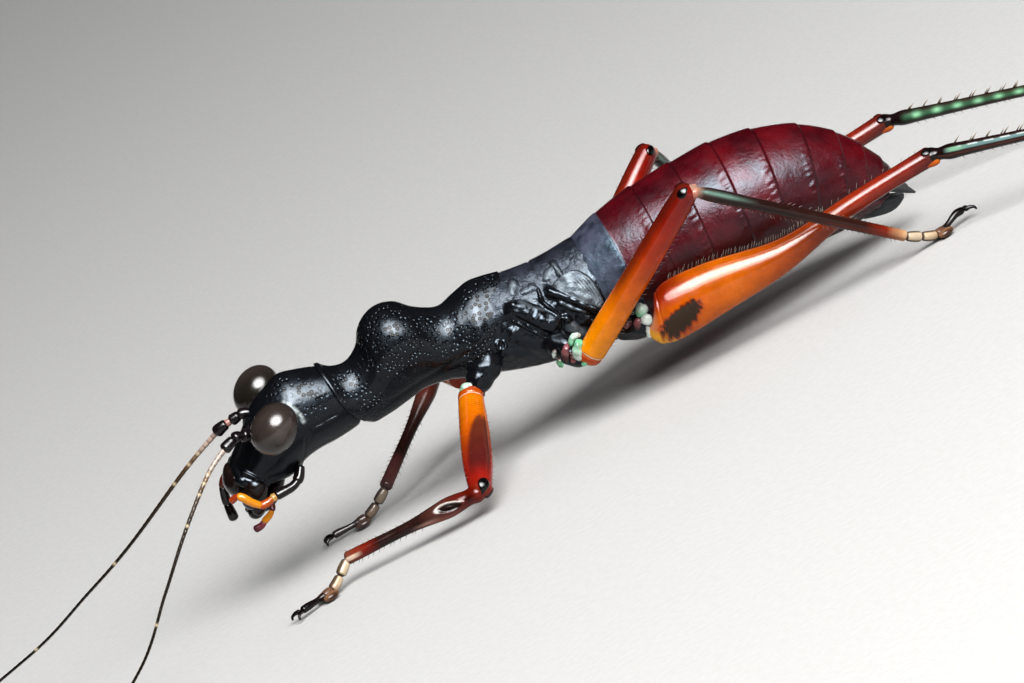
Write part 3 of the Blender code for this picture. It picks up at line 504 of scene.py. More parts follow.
def flank_finish():
    """Plum-black satin on the back plates, polished black below, and a painted grey highlight where its mark
    is high.
    """
    made, tree, shader = finish("thorax_satin", (0.012, 0.013, 0.018), 0.4, 0.05, 0.10, 0.25)
    shader.inputs["Specular Tint"].default_value = (0.68, 0.84, 1.0, 1.0)
    polished = mark(tree, "polish")
    cloud = fade(tree, noise(tree, 1500.0), 0.35, 0.7)
    satin = blend(tree, cloud, (0.004, 0.0042, 0.0065, 1), (0.014, 0.015, 0.022, 1))
    colour = blend(tree, polished, satin, (0.003, 0.0033, 0.0044, 1))
    patchy = fade(tree, noise(tree, 4200.0), 0.35, 0.65)
    grey = blend(tree, patchy, (0.060, 0.072, 0.084, 1), (0.17, 0.20, 0.22, 1))
    # Painted highlight: grey laid over the colour where its mark is high.
    colour = blend(tree, maths(tree, "MULTIPLY", mark(tree, "bloom"), 0.8), colour, grey)
    tree.links.new(colour, shader.inputs["Base Color"])
    tree.links.new(fade(tree, polished, 0.0, 1.0, 0.38, 0.17), shader.inputs["Roughness"])
    fine = maths(tree, "MULTIPLY", noise(tree, 16000.0, 2.0), fade(tree, polished, 0.0, 1.0, 0.7, 0.10))
    coarse = maths(tree, "MULTIPLY", noise(tree, 3200.0, 4.0), fade(tree, polished, 0.0, 1.0, 1.4, 0.9))
    raise_by(tree, shader, maths(tree, "ADD", fine, coarse), 0.000035, 0.8)
    return made


thorax = skin("hind_thorax", [leaned(grid)], flank_finish(), polish=[polish], bloom=[bloom])
dress(thorax, "blue_black_cuticle", "mesothorax", "metathorax")

# Abdomen. The real one is a soft bag in ten hard rings, each sliding a little over the next,
# with a soft pleat low on either side. It is wine red and polished, the first ring blue-black,
# and short slanting dents run along the rings' hind edges.

ABDOMEN = (
    (3.05, 4.90, 2.92, 1.58, 1.36, 0.10),
    (4.26, 5.22, 4.15, 1.33, 1.62, 0.06),
    (5.59, 5.38, 5.35, 1.22, 1.80, 0.05),
    (6.95, 5.41, 6.55, 1.16, 1.90, 0.04),
    (8.27, 5.35, 7.75, 1.12, 1.92, 0.04),
    (9.58, 5.07, 8.80, 1.08, 1.80, 0.03),
    (10.87, 4.49, 9.70, 1.03, 1.58, 0.02),
    (11.75, 3.72, 10.55, 1.00, 1.28, 0.00),
    (12.26, 3.00, 11.25, 1.00, 0.98, 0.00),
    (12.59, 2.31, 11.85, 1.05, 0.70, 0.00),
    (12.74, 1.85, 12.25, 1.22, 0.42, 0.00),
)
ABDOMEN_ROWS, ABDOMEN_SIDES = 420, 220
RING_STEP = 0.05                                   # each ring's hind edge over the next
PLEAT_AT, PLEAT_DEPTH = math.radians(122), 0.06    # from the top of the back, going round
DENTS_AT, DENT_HEIGHT = 1.25, 0.045
FOLD_AT, FOLD_DEPTH = 1.95, 0.03

u = np.linspace(0, 1, ABDOMEN_ROWS)
ring = u[:, None] * (len(ABDOMEN) - 1)
share = ring % 1.0
share[-1] = 1.0
around = np.linspace(0, 2 * math.pi, ABDOMEN_SIDES, endpoint=False)[None]
from_top = math.pi - np.abs(math.pi - around)
grid = ovals(ABDOMEN, u, ABDOMEN_SIDES)
pleat = bell(from_top - PLEAT_AT, 0.05)
swell = RING_STEP * share**1.5 * np.clip((1.0 - share) / 0.04, 0, 1)
swell = swell - PLEAT_DEPTH * pleat + 0.05 * bell(from_top - PLEAT_AT - 0.11, 0.06)
slant = np.sin(from_top * 50 + share * 9.0 + 1.6 * np.sin(from_top * 13 + np.floor(ring) * 2.1))
dents = bell(share - 0.86, 0.09) * bell(from_top - DENTS_AT, 0.48)
swell = swell + DENT_HEIGHT * np.clip(slant, 0, 1) * dents
swell[ring[:, 0] < 1] *= 0.6
soft_fold = bell(from_top - FOLD_AT - 0.25 * (share - 0.5), 0.10) * np.sin(share * math.pi)
swell = (swell - FOLD_DEPTH * soft_fold) * np.clip((10 - ring) / 0.4, 0, 1)
ring_marks = {
    "belly": [np.clip((from_top - 1.45) / 0.55, 0, 1)],
    "pleat": [pleat],
    "edge": [bell(1.0 - share, 0.05)],
    "first": [np.clip((1.0 - ring) / 0.03, 0, 1)],
    "tail": [np.clip((ring - 8.6) / 0.9, 0, 1)],
}
grid = grid + outward(grid) * swell[:, :, None]


def ring_finish():
    """Wine red under a clear layer: cloudy, browner low on the sides, dark at each ring's edge."""
    made, tree, shader = finish("abdomen_wine", (0.05, 0.002, 0.005), 0.26, 0.04, 0.10, 0.25)
    shader.inputs["Specular Tint"].default_value = (0.46, 0.86, 1.0, 1.0)
    cloud = fade(tree, noise(tree, 900.0, 4.0), 0.3, 0.72)
    wine = blend(tree, cloud, (0.026, 0.0008, 0.0024, 1), (0.072, 0.0016, 0.0038, 1))
    low = blend(tree, noise(tree, 1600.0), (0.020, 0.0040, 0.0046, 1), (0.055, 0.012, 0.009, 1))
    colour = blend(tree, mark(tree, "belly"), wine, low)
    pleated = maths(tree, "MULTIPLY", mark(tree, "pleat"), 0.55)
    colour = blend(tree, pleated, colour, (0.13, 0.05, 0.07, 1))
    darker = maths(tree, "MULTIPLY", mark(tree, "edge"), 0.8)
    colour = blend(tree, darker, colour, (0.010, 0.001, 0.002, 1))
    patchy = fade(tree, noise(tree, 2600.0), 0.3, 0.7)
    # The first ring's blue-grey satin: its own colour, made lighter in part as a painted sheen.
    satin = blend(tree, patchy, (0.010, 0.011, 0.019, 1), (0.046, 0.048, 0.074, 1))
    colour = blend(tree, mark(tree, "first"), colour, satin)
    colour = blend(tree, mark(tree, "tail"), colour, (0.014, 0.002, 0.004, 1))
    tree.links.new(colour, shader.inputs["Base Color"])
    rough = fade(tree, noise(tree, 2200.0), 0.3, 0.75, 0.25, 0.37)
    rough = maths(tree, "ADD", rough, maths(tree, "MULTIPLY", mark(tree, "first"), 0.06))
    tree.links.new(rough, shader.inputs["Roughness"])
    fine = maths(tree, "MULTIPLY", noise(tree, 15000.0, 2.0), 0.35)
    coarse = maths(tree, "MULTIPLY", noise(tree, 2400.0, 3.0), 1.2)
    raise_by(tree, shader, maths(tree, "ADD", fine, coarse), 0.000026, 0.8)
    return made


abdomen = skin("abdomen_rings", [leaned(grid)], ring_finish(), **ring_marks)
dress(abdomen, "wine_red_cuticle", "first_tergite", "abdomen")

# Head. The real one is a hard capsule, deep and narrow, that hangs from the collar. It is
# polished black, with a fine seam behind the cheek, a raised ring round each eye and each
# feeler's socket, and a groove over the mouth.

HEAD = (
    (-4.20, 4.90, -4.15, 3.30, 0.72, 0.00),
    (-4.60, 5.02, -4.50, 3.30, 0.75, 0.00),
    (-5.00, 5.20, -4.86, 3.32, 0.78, 0.00),
    (-5.27, 5.44, -5.07, 3.22, 0.89, 0.05),
    (-5.95, 5.72, -5.80, 3.18, 1.04, 0.10),
    (-6.45, 5.84, -6.35, 3.20, 1.10, 0.12),
    (-7.00, 5.66, -6.85, 3.12, 1.10, 0.06),
    (-7.60, 5.34, -7.19, 2.95, 1.06, 0.00),
    (-8.12, 4.86, -7.50, 2.87, 1.01, 0.02),
    (-8.58, 4.44, -7.82, 2.90, 0.96, 0.00),
    (-8.94, 4.12, -8.08, 2.98, 0.90, 0.00),
    (-9.16, 3.86, -8.32, 3.10, 0.80, 0.00),
    (-9.20, 3.78, -8.44, 3.20, 0.66, 0.00),
)
HEAD_ROWS, HEAD_SIDES = 300, 260
EYE_RADII = np.array([0.68, 0.74, 0.83])
EYE_TILT = math.radians(54.6)
CHEEK_FORMS = (
    (((-5.45, 4.22), (-5.95, 4.26), (-6.37, 4.29), (-6.60, 4.05), (-6.75, 3.75), (-6.89, 3.45)),
     0.035, -0.028, "line"),
    (((-5.45, 4.16), (-5.95, 4.20), (-6.33, 4.22), (-6.54, 4.02)), 0.03, 0.014, "line"),
    (((-7.05, 3.05), (-7.55, 3.22), (-8.05, 3.35), (-8.45, 3.35)), 0.05, 0.05, "line"),
    (((-7.05, 2.97), (-7.55, 3.12), (-8.05, 3.25), (-8.45, 3.25)), 0.04, -0.05, "line"),
    (((-8.66, 3.95), (-8.50, 3.76), (-8.32, 3.50), (-8.24, 3.19)), 0.045, 0.07, "line"),
    (((-8.76, 3.80), (-8.60, 3.64), (-8.44, 3.42), (-8.36, 3.16)), 0.045, -0.05, "line"),
    (((-8.95, 4.05), (-8.98, 3.80), (-8.90, 3.50)), 0.16, 0.07, "roll"),
)
HEAD_PITS = (
    ((-6.4, -0.4, 5.7), 0.30, 0.9),
    ((-5.9, -0.7, 5.3), 0.34, 0.9),
    ((-5.8, -0.95, 4.8), 0.30, 0.9),
    ((-6.2, -0.95, 4.8), 0.20, 0.7),
    ((-6.9, -0.3, 5.6), 0.25, 0.6),
)
BEHIND_EYE = ((-6.55, -1.02, 5.2), 0.20, 0.05)
PALE_MARK = ((-6.62, 5.31), (-6.52, 5.20), (-6.44, 5.02), (-6.38, 4.80), (-6.38, 4.60))
PALE_WIDTH = 0.10
EYE_RING_AT, EYE_RING = 1.07, 0.05                  # in eye radii from its middle, then its height
SOCKET_AT, SOCKET_RADIUS = np.array([-7.86, 0.72, 4.86]), 0.25
SOCKET_RIM, SOCKET_DIP = 0.07, 0.08

grid = ovals(HEAD, np.linspace(0, 1, HEAD_ROWS), HEAD_SIDES)
side = np.clip((np.abs(grid[:, :, 1]) - 0.2) / 0.3, 0, 1)
swell = relief(grid, CHEEK_FORMS) * side
for mirror in ((1, -1, 1), (1, 1, 1)):
    from_eye = np.linalg.norm((grid - EYE_AT * mirror) @ turn_y(EYE_TILT) / EYE_RADII, axis=2)
    from_socket = np.linalg.norm(grid - SOCKET_AT * mirror, axis=2)
    swell += EYE_RING * bell(from_eye - EYE_RING_AT, 0.07)
    swell += SOCKET_RIM * bell(from_socket - SOCKET_RADIUS, 0.06) - SOCKET_DIP * bell(from_socket, 0.15)
swell += bump_field(grid, both_sides([BEHIND_EYE]))
grid = grid + outward(grid) * swell[:, :, None]
pits = bump_field(grid, both_sides(HEAD_PITS))
pale = np.clip((PALE_WIDTH - reach_to(grid, PALE_MARK)) / 0.10, 0, 1) * (np.abs(grid[..., 1]) > 0.5)


def head_finish():
    """Pitted black, with a streaky pale crescent behind the eye where the pale mark is high."""
    made = black_cuticle("head_black", 6600.0, 0.10, 0.24)
    tree = made.node_tree
    streaks = fade(tree, noise(tree, 6500.0, 3.0, 0.5), 0.36, 0.62)
    grey = blend(tree, streaks, (0.10, 0.11, 0.11, 1), (0.46, 0.52, 0.52, 1))
    colour = blend(tree, mark(tree, "pale"), (*DEEP_BLACK, 1), grey)
    tree.links.new(colour, tree.nodes["Principled BSDF"].inputs["Base Color"])
    return made


head = skin("head_capsule", [nodded(grid)], head_finish(), pits=[pits], pale=[pale])
dress(head, "black_cuticle", "head")

# Eyes. Each real eye is a bulging dome of thousands of tiny lenses, smooth and glassy, smoky
# brown, with a darker spot that faces the viewer. Here that spot is painted where the eye faces
# the camera, and painted shade darkens each eye's inner half.

SIDES = (("left", -1), ("right", 1))
EYE_ROWS, EYE_SIDES = 96, 96
EYE_SPOT = np.array([-0.25, -0.95, -0.17])


def ball(rows, sides):
    """A ball whose poles lie on y: (sin p cos a, cos p, sin p sin a)."""
    p = np.linspace(0, math.pi, rows + 2)[1:-1, None]
    a = np.linspace(0, 2 * math.pi, sides, endpoint=False)[None]
    return np.stack([np.sin(p) * np.cos(a), np.cos(p) + 0 * a, np.sin(p) * np.sin(a)], -1)


def eye_finish():
    """Smoky brown, darker where the mark is high: a painted dark spot where the dome faces the camera
    and painted shade over its inner half, with the faint grid of its lenses under a thin clear layer."""
    made, tree, shader = finish("eye_smoke", (0.05, 0.04, 0.04), 0.20, 0.30, 0.10, 0.32)
    cloud = fade(tree, noise(tree, 900.0), 0.3, 0.7)
    smoke = blend(tree, cloud, (0.022, 0.016, 0.014, 1), (0.040, 0.030, 0.025, 1))
    colour = blend(tree, mark(tree, "dusk"), smoke, (0.010, 0.008, 0.006, 1))
    tree.links.new(colour, shader.inputs["Base Color"])
    where = node(tree, "ShaderNodeTexCoord").outputs["Object"]
    lens = node(tree, "ShaderNodeTexVoronoi", {"Vector": where, "Scale": 26000.0})
    raise_by(tree, shader, lens.outputs["Distance"], 0.000004, 0.35)
    return made


EYE_SMOKE = eye_finish()
for word, sign in SIDES:
    centre = EYE_AT * (1, sign, 1)
    out = ball(EYE_ROWS, EYE_SIDES)
    grid = centre + out * EYE_RADII @ turn_y(EYE_TILT).T
    # Painted shade: a dark spot where the eye faces the camera, and shade over the eye's inner half.
    from_spot = np.arccos(np.clip(out @ turn_y(EYE_TILT).T @ (EYE_SPOT * (1, -sign, 1)), -1, 1))
    dusk = 0.8 * bell(from_spot, 0.26) + 1.4 * np.clip(out[..., 1] * -sign + 0.1, 0, 1)
    eye = skin(word + "_eye_dome", [nodded(grid)], EYE_SMOKE, dusk=[dusk])
    dress(eye, "eye", word + "_eye")

# Mouth. The real one is a stack of hard black plates: an upper lip, two jaws behind it and a
# lower lip, all polished. Jointed feelers for tasting, the palps, grow at either side, black
# at their roots and clear orange at their ends.

LABRUM = ((-8.86, 4.00), (-9.06, 3.70), (-9.16, 3.36), (-9.10, 3.08))
LABRUM_TABLE = ((0.0, 0.58, 0.22), (0.35, 0.66, 0.30), (0.8, 0.62, 0.32), (1.0, 0.48, 0.24))
LABIUM = ((-7.75, 3.20), (-8.15, 2.78), (-8.58, 2.46), (-8.98, 2.30))
LABIUM_TABLE = ((0.0, 0.54, 0.24), (0.6, 0.56, 0.26), (1.0, 0.34, 0.15))
JAW = ((-8.40, 0.52, 3.58), (-8.62, 0.60, 3.28), (-8.84, 0.52, 2.98), (-9.06, 0.26, 2.84))
JAW_TABLE = ((0.0, 0.36, 0.36), (0.5, 0.40, 0.40), (0.8, 0.34, 0.34), (1.0, 0.20, 0.20))
LOWER_LOBE_TABLE = ((0.0, 0.8, 0.8), (0.6, 1.0, 1.0), (1.0, 0.7, 0.7))
LOWER_LOBES = (
    (((-8.50, 0.26, 2.82), (-8.90, 0.28, 2.50), (-9.20, 0.22, 2.30)), 0.26),
    (((-8.50, 0.60, 2.92), (-8.84, 0.56, 2.62), (-9.02, 0.46, 2.46)), 0.22),
)
# Each palp: the points of its line, then its joints by where each starts, its radius and tone.
PALPS = {
    "left_maxillary_palp": (
        ((-7.14, -0.74, 3.26), (-7.22, -0.82, 3.14), (-7.38, -0.95, 2.99), (-7.62, -1.05, 2.91),
         (-7.95, -1.12, 2.93), (-8.26, -1.18, 2.95), (-8.48, -1.20, 2.91), (-8.71, -1.22, 2.94),
         (-8.92, -1.22, 3.17), (-9.08, -1.18, 3.42), (-9.24, -1.10, 3.51), (-9.47, -1.00, 3.42)),
        ((0.0, 0.16, "black"), (0.22, 0.15, "black"), (0.44, 0.12, "joint"), (0.49, 0.12, "rust"),
         (0.65, 0.122, "orange"), (0.89, 0.105, "tip")),
    ),
    "right_maxillary_palp": (
        ((-8.80, 0.90, 3.60), (-9.28, 1.10, 3.32), (-9.51, 1.15, 3.08), (-9.61, 1.15, 2.80),
         (-9.68, 1.10, 2.48), (-9.71, 1.00, 2.19), (-9.73, 0.95, 1.95)),
        ((0.0, 0.13, "brown"), (0.38, 0.14, "black"), (0.68, 0.15, "black")),
    ),
}
LABIAL_PALP = ((-8.42, 0.70, 2.56), (-8.52, 0.80, 2.45), (-8.67, 0.82, 2.34), (-8.87, 0.80, 2.25),
               (-9.05, 0.78, 2.15), (-9.30, 0.75, 2.13))
LABIAL_JOINTS = ((0.0, 0.09, "brown"), (0.24, 0.10, "orange"), (0.66, 0.11, "plum"))
for word, sign in SIDES:
    PALPS[word + "_labial_palp"] = (np.array(LABIAL_PALP) * (1, sign, 1), LABIAL_JOINTS)
JOINT_TABLE = ((0, 0.84, 0.84), (0.3, 0.95, 0.95), (0.8, 1.05, 1.05), (1, 1.0, 1.0))
# Each tone: at the root and at the tip of a joint, from 0 to 255.
PALP_TONES = {
    "black": ((22, 16, 18), (30, 22, 22)),
    "brown": ((120, 50, 40), (75, 30, 26)),
    "joint": ((200, 110, 30), (235, 195, 110)),
    "rust": ((205, 95, 20), (200, 75, 15)),
    "orange": ((240, 145, 25), (245, 150, 30)),
    "tip": ((160, 50, 25), (175, 70, 30)),
    "plum": ((150, 60, 70), (38, 20, 26)),
}


def shade(tone):
    """A tone judged from 0 to 255 under the bright lamp, made linear: 0.75 (c / 255) ^ 2.2."""
    return 0.75 * np.asarray(tone, float) ** 2.2 / 255**2.2


def curve(rows, count=160):
    """The smooth curve through the rows as many close points."""
    return along(rows, np.linspace(0, 1, count))


def profile(table, share):
    """A smooth curve through rows of share and values: cubic Hermite pieces, y0 (1 + 2t)(1 - t)^2 +
    h m0 t (1 - t)^2 + y1 t^2 (3 - 2t) - h m1 t^2 (1 - t), whose slopes m come from the neighbours."""
    table = np.asarray(table, float)
    x, y = table[:, 0], table[:, 1:]
    slope = np.gradient(y, x, axis=0)
    k = np.clip(np.searchsorted(x, share) - 1, 0, len(x) - 2)
    h = (x[k + 1] - x[k])[:, None]
    t = np.clip((share - x[k])[:, None] / h, 0, 1)
    rising = y[k] * (1 + 2 * t) * (1 - t) ** 2 + h * slope[k] * t * (1 - t) ** 2
    return rising + y[k + 1] * t**2 * (3 - 2 * t) - h * slope[k + 1] * t**2 * (1 - t)


def rod(path, table, count, sides, side=(0.0, 1.0, 0.0), dome=(1.0, 1.0)):
    """A limb's skin along a path: point = middle + side * width * cos(a) + (forward x side) *
    depth * sin(a). Width and depth follow the table, and shrink by sqrt(1 - (1 - s / d)^2) within
    d of either end. Also gives the share of the length, and how far round each point lies:
    `edge` is 1 on the edge that forward x (0, -1, 0) points to, `face` is 1 on the left face."""
    path = np.asarray(path, float)
    run = np.append(0, np.cumsum(np.linalg.norm(np.diff(path, axis=0), axis=1)))
    share = (1 - np.cos(np.linspace(0, math.pi, count))) / 2
    middle = np.stack([np.interp(share * run[-1], run, path[:, i]) for i in range(3)], -1)
    forward = np.gradient(middle, axis=0)
    forward /= np.linalg.norm(forward, axis=1, keepdims=True)
    across = np.asarray(side, float) - (forward @ side)[:, None] * forward
    across /= np.linalg.norm(across, axis=1, keepdims=True)
    radii = profile(table, share)
    shrink = np.ones(count)
    for far, end, reach in ((share, 0, dome[0]), (1 - share, -1, dome[1])):
        near = np.clip(far * run[-1] / (radii[end].mean() * reach) + 0.01, 0, 1)
        shrink = shrink * np.sqrt(1 - (1 - near) ** 2)
    a = np.linspace(0, 2 * math.pi, sides, endpoint=False)
    wide = (across * (radii[:, 0] * shrink)[:, None])[:, None]
    deep = (np.cross(forward, across) * (radii[:, 1] * shrink)[:, None])[:, None]
    offset = wide * np.cos(a)[:, None] + deep * np.sin(a)[:, None]
    edge_way = np.cross(forward, (0.0, -1.0, 0.0))
    edge_way /= np.linalg.norm(edge_way, axis=1, keepdims=True)
    face_way = np.cross(edge_way, forward)
    unit = offset / np.linalg.norm(offset, axis=2, keepdims=True)
    edge = (unit * edge_way[:, None]).sum(-1)
    face = (unit * face_way[:, None]).sum(-1)
    return middle[:, None] + offset, share[:, None], edge, face


def soft_step(value, low, high):
    """A smooth step, t^2 (3 - 2t), where t runs from 0 at low to 1 at high."""
    t = np.clip((value - low) / (high - low), 0, 1)
    return t * t * (3 - 2 * t)


def painted(share, stops):
    """Tints along a limb, the same all round it: straight lines between stops of a share and a tone."""
    stops = np.asarray(stops, float)
    tones = shade(stops[:, 1:])
    return np.stack([np.interp(share, stops[:, 0], tones[:, i]) for i in range(3)], -1)


def over(tint, mask, tone):
    """A tone laid over the tints where the mask is high: tint + (tone - tint) * mask."""
    return tint + (shade(tone) - tint) * np.clip(mask, 0, 1)[..., None]


def tinted(name, roughness, coat, grain=0.35, gloss=0.13):
    """Clear-looking cuticle: the tint painted on the mesh, clouded a little, under a clear layer."""
    made, tree, shader = finish(name, (0.2, 0.1, 0.05), roughness, coat, 0.06, gloss)
    tint = node(tree, "ShaderNodeAttribute", attribute_name="tint").outputs["Color"]
    cloud = fade(tree, noise(tree, 2600.0, 4.0), 0.25, 0.75, 0.84, 1.12)
    clouded = node(tree, "ShaderNodeVectorMath", {0: tint, "Scale": cloud}, operation="SCALE")
    tree.links.new(clouded.outputs["Vector"], shader.inputs["Base Color"])
    fine = maths(tree, "MULTIPLY", noise(tree, 14000.0, 2.0), grain)
    coarse = maths(tree, "MULTIPLY", noise(tree, 3000.0, 3.0), 1.0)
    raise_by(tree, shader, maths(tree, "ADD", fine, coarse), 0.000015, 0.6)
    rough = fade(tree, noise(tree, 3400.0), 0.3, 0.7, roughness - 0.05, roughness + 0.08)
    tree.links.new(rough, shader.inputs["Roughness"])
    return made


def plate(line, table, count=90, sides=80):
    """A plate of the mouth that hangs along a line of x, z points."""
    rows = [(x, 0.0, z) for x, z in line]
    return nodded(rod(curve(rows), table, count, sides, dome=(0.6, 1.6))[0])


def jointed(rows, joints, tones, count=44, sides=28):
    """A chain of segments on one curve, each JOINT_TABLE times its radius and rounded at both ends."""
    grids, tints = [], []
    ends = [joint[0] for joint in joints[1:]] + [1.0]
    for (start, radius, tone), end in zip(joints, ends):
        path = along(rows, np.linspace(max(start - 0.03, 0), min(end + 0.01, 1), 30))
        table = np.array(JOINT_TABLE) * (1, radius, radius)
        grid, share, *_ = rod(path, table, count, sides, side=(0.0, 0.3, 1.0), dome=(0.55, 0.7))
        root, tip = tones[tone]
        grids.append(grid)
        tints.append(painted(share, ((0.0, *root), (1.0, *tip))))
    return grids, tints


MOUTH_BLACK = black_cuticle("mouth_black", 8000.0, 0.2, 0.16, (0.010, 0.0055, 0.0045))
labrum = skin("upper_lip", [plate(LABRUM, LABRUM_TABLE)], MOUTH_BLACK, pits=[0.0])
dress(labrum, "black_cuticle", "labrum")
for word, sign in SIDES:
    jaw = rod(curve(np.array(JAW) * (1, sign, 1)), JAW_TABLE, 70, 48, side=(0.0, 0.2, 1.0))[0]
    dress(skin(word + "_jaw", [nodded(jaw)], MOUTH_BLACK, pits=[0.0]), "black_cuticle", word + "_mandible")
lobes = [plate(LABIUM, LABIUM_TABLE)]
for line, radius in LOWER_LOBES:
    table = np.array(LOWER_LOBE_TABLE) * (1, radius, radius)
    for word, sign in SIDES:
        lobes.append(nodded(rod(curve(np.array(line) * (1, sign, 1)), table, 50, 32)[0]))
lower_lip = skin("lower_lip", lobes, MOUTH_BLACK, pits=[0.0] * len(lobes))
dress(lower_lip, "black_cuticle", "labium")
PALP_SHELL = tinted("palp_shell", 0.15, 0.15, gloss=0.26)
for name, (rows, joints) in PALPS.items():
    grids, tints = jointed(rows, joints, PALP_TONES)
    palp = skin(name + "_joints", [nodded(grid) for grid in grids], PALP_SHELL, tint=tints)
    dress(palp, "palp", name)

# Feelers. Each real one is a thread of hundreds of short tubes, on two swollen joints at the
# root. The root joints are black with a pink ring, the thread is pale at first, and further
# out it is nearly black, with a few pale rings ever further apart.

FEELERS = {
    "left": (
        (-7.94, -1.05, 4.83), (-8.18, -1.18, 4.91), (-8.42, -1.27, 5.01), (-8.69, -1.34, 4.96),
        (-8.95, -1.42, 4.88), (-9.76, -1.80, 4.52), (-11.17, -2.90, 3.61), (-12.54, -4.30, 2.64),
        (-14.27, -6.20, 1.50), (-17.20, -9.30, 0.80), (-21.40, -13.30, 0.75), (-26.20, -17.30, 1.40),
        (-30.60, -20.40, 2.80),
    ),
    "right": (
        (-7.50, -0.22, 5.06), (-7.64, -0.20, 5.19), (-7.89, -0.16, 5.30), (-8.24, -0.08, 5.27),
        (-8.63, 0.00, 5.22), (-8.90, 0.08, 5.12), (-10.24, 0.45, 4.53), (-12.77, 0.90, 3.28),
        (-14.65, 1.20, 2.54), (-17.06, 1.60, 1.70), (-21.20, 2.60, 0.95), (-26.60, 4.60, 0.85),
        (-32.00, 7.40, 1.50), (-37.20, 10.60, 3.00),
    ),
}
KNOB_ENDS = {"left": 5, "right": 6}                 # how many of the points the root joints take
THREAD_ROWS, THREAD_SIDES = 1500, 12
# Here and in the other tables of limbs: share of the length, half-width, half-depth.
FEELER_TABLE = ((0.0, 0.085, 0.085), (0.03, 0.072, 0.072), (0.10, 0.058, 0.058), (0.55, 0.046, 0.046),
                (1.0, 0.02, 0.02))
# Millimetres from the root of the thread, then a tone from 0 to 255.
FEELER_STOPS = (
    (0.0, 190, 160, 148), (0.7, 195, 172, 158), (1.2, 120, 94, 70), (1.7, 72, 56, 40),
    (2.6, 44, 35, 24), (4.5, 30, 26, 17), (60.0, 30, 21, 17),
)
FEELER_JOINT = 0.20
# Where the pale rings are, in millimetres from the same root.
FEELER_RINGS = {
    "left": (1.05, 1.35, 1.75, 2.85, 6.40, 9.60, 13.4, 17.6, 22.0, 27.0, 32.0),
    "right": (1.00, 1.45, 2.20, 5.30, 8.90, 12.8, 17.0, 21.4, 26.0, 31.0, 36.0),
}
KNOB_TONES = {
    "socket": ((120, 90, 90), (90, 60, 62)),
    "black": ((24, 20, 22), (30, 24, 26)),
    "pink": ((200, 150, 140), (150, 95, 85)),
}
KNOBS = {
    "left": ((0.0, 0.20, "black"), (0.36, 0.18, "black"), (0.60, 0.175, "black")),
    "right": ((0.0, 0.15, "socket"), (0.24, 0.165, "black"), (0.48, 0.175, "black"), (0.64, 0.115, "pink"),
              (0.72, 0.185, "black")),
}

FEELER_SHELL = tinted("feeler_shell", 0.15, 0.15, gloss=0.26)
for word, rows in FEELERS.items():
    rows = np.array(rows)
    base = KNOB_ENDS[word]
    grids, tints = jointed(rows[:base], KNOBS[word], KNOB_TONES)
    path = along(rows, np.linspace((base - 1.35) / (len(rows) - 1), 1, 900))
    thread, share, *_ = rod(path, FEELER_TABLE, THREAD_ROWS, THREAD_SIDES, side=(0.0, 0.3, 1.0))
    reach = share * np.linalg.norm(np.diff(path, axis=0), axis=1).sum()
    beat = np.cos(2 * math.pi * reach / FEELER_JOINT)
    ring = sum(bell(reach - place, 0.05) for place in FEELER_RINGS[word])
    thread = thread + outward(thread) * (0.006 * np.maximum(beat, 1.5 * ring) * (1 - share))[:, :, None]
    tint = over(painted(reach, FEELER_STOPS), 0.45 * soft_step(-beat, 0.2, 0.8), (52, 34, 26))
    tints.append(over(tint, 0.9 * ring, (205, 185, 150)))
    feeler = skin(word + "_feeler", grids + [thread], FEELER_SHELL, tint=tints)
    dress(feeler, "feeler", word + "_antenna")

# Leg roots. Each real one is a short, thick, hard joint let into a soft skin socket under the
# flank, with a few swollen lobes at its end. The joints are polished black, and the skin
# between them shows mint green, white and pink.

# Each leg: hip, knee and ankle, then the way its foot points on the floor.
LEGS = {
    "front_left": ((-1.79, -1.58, 2.50), (-2.99, -4.80, 0.72), (-7.38, -3.75, 0.72), (-0.90, -0.42)),
    "front_right": ((-1.62, 1.32, 2.66), (-1.79, 4.60, 2.57), (-5.22, 1.62, 0.72), (-1.00, -0.06)),
    "mid_left": ((1.98, -2.06, 2.02), (6.67, -4.40, 5.40), (11.75, -3.60, 0.72), (0.94, 0.34)),
    "mid_right": ((1.98, 1.86, 2.16), (6.90, 3.80, 5.27), (8.50, 8.30, 0.72), (0.62, 0.78)),
    "hind_left": ((4.26, -2.60, 2.04), (13.59, -3.42, 2.41), (21.75, -8.00, 0.72), (0.92, -0.38)),
    "hind_right": ((4.24, 2.40, 2.26), (13.64, 3.28, 2.46), (21.90, -1.20, 0.72), (0.96, -0.28)),
}
TROCHANTER = 0.36
COXAE = {
    "front": ((-0.52, 0.50, 3.50), (-0.92, 0.92, 3.05)),
    "mid": ((1.20, 0.70, 2.90), (1.40, 1.22, 2.54)),
    "hind": ((3.20, 0.85, 2.60), (3.40, 1.45, 2.24)),
}
COXA_TABLES = {
    "front": ((0.0, 0.40, 0.40), (0.4, 0.46, 0.46), (0.75, 0.40, 0.40), (1.0, 0.34, 0.34)),
    "mid": ((0.0, 0.46, 0.46), (0.5, 0.42, 0.42), (0.8, 0.34, 0.34), (1.0, 0.30, 0.30)),
    "hind": ((0.0, 0.54, 0.54), (0.5, 0.50, 0.50), (0.8, 0.42, 0.42), (1.0, 0.38, 0.38)),
}
MINT, MILK, PINK, UMBER = (120, 195, 150), (205, 215, 208), (140, 80, 85), (60, 40, 38)
LOBE_ROWS, LOBE_SIDES = 42, 36
LOBE_TABLE = ((0, 0.8, 0.7), (0.5, 1.1, 1.0), (1, 0.8, 0.7))
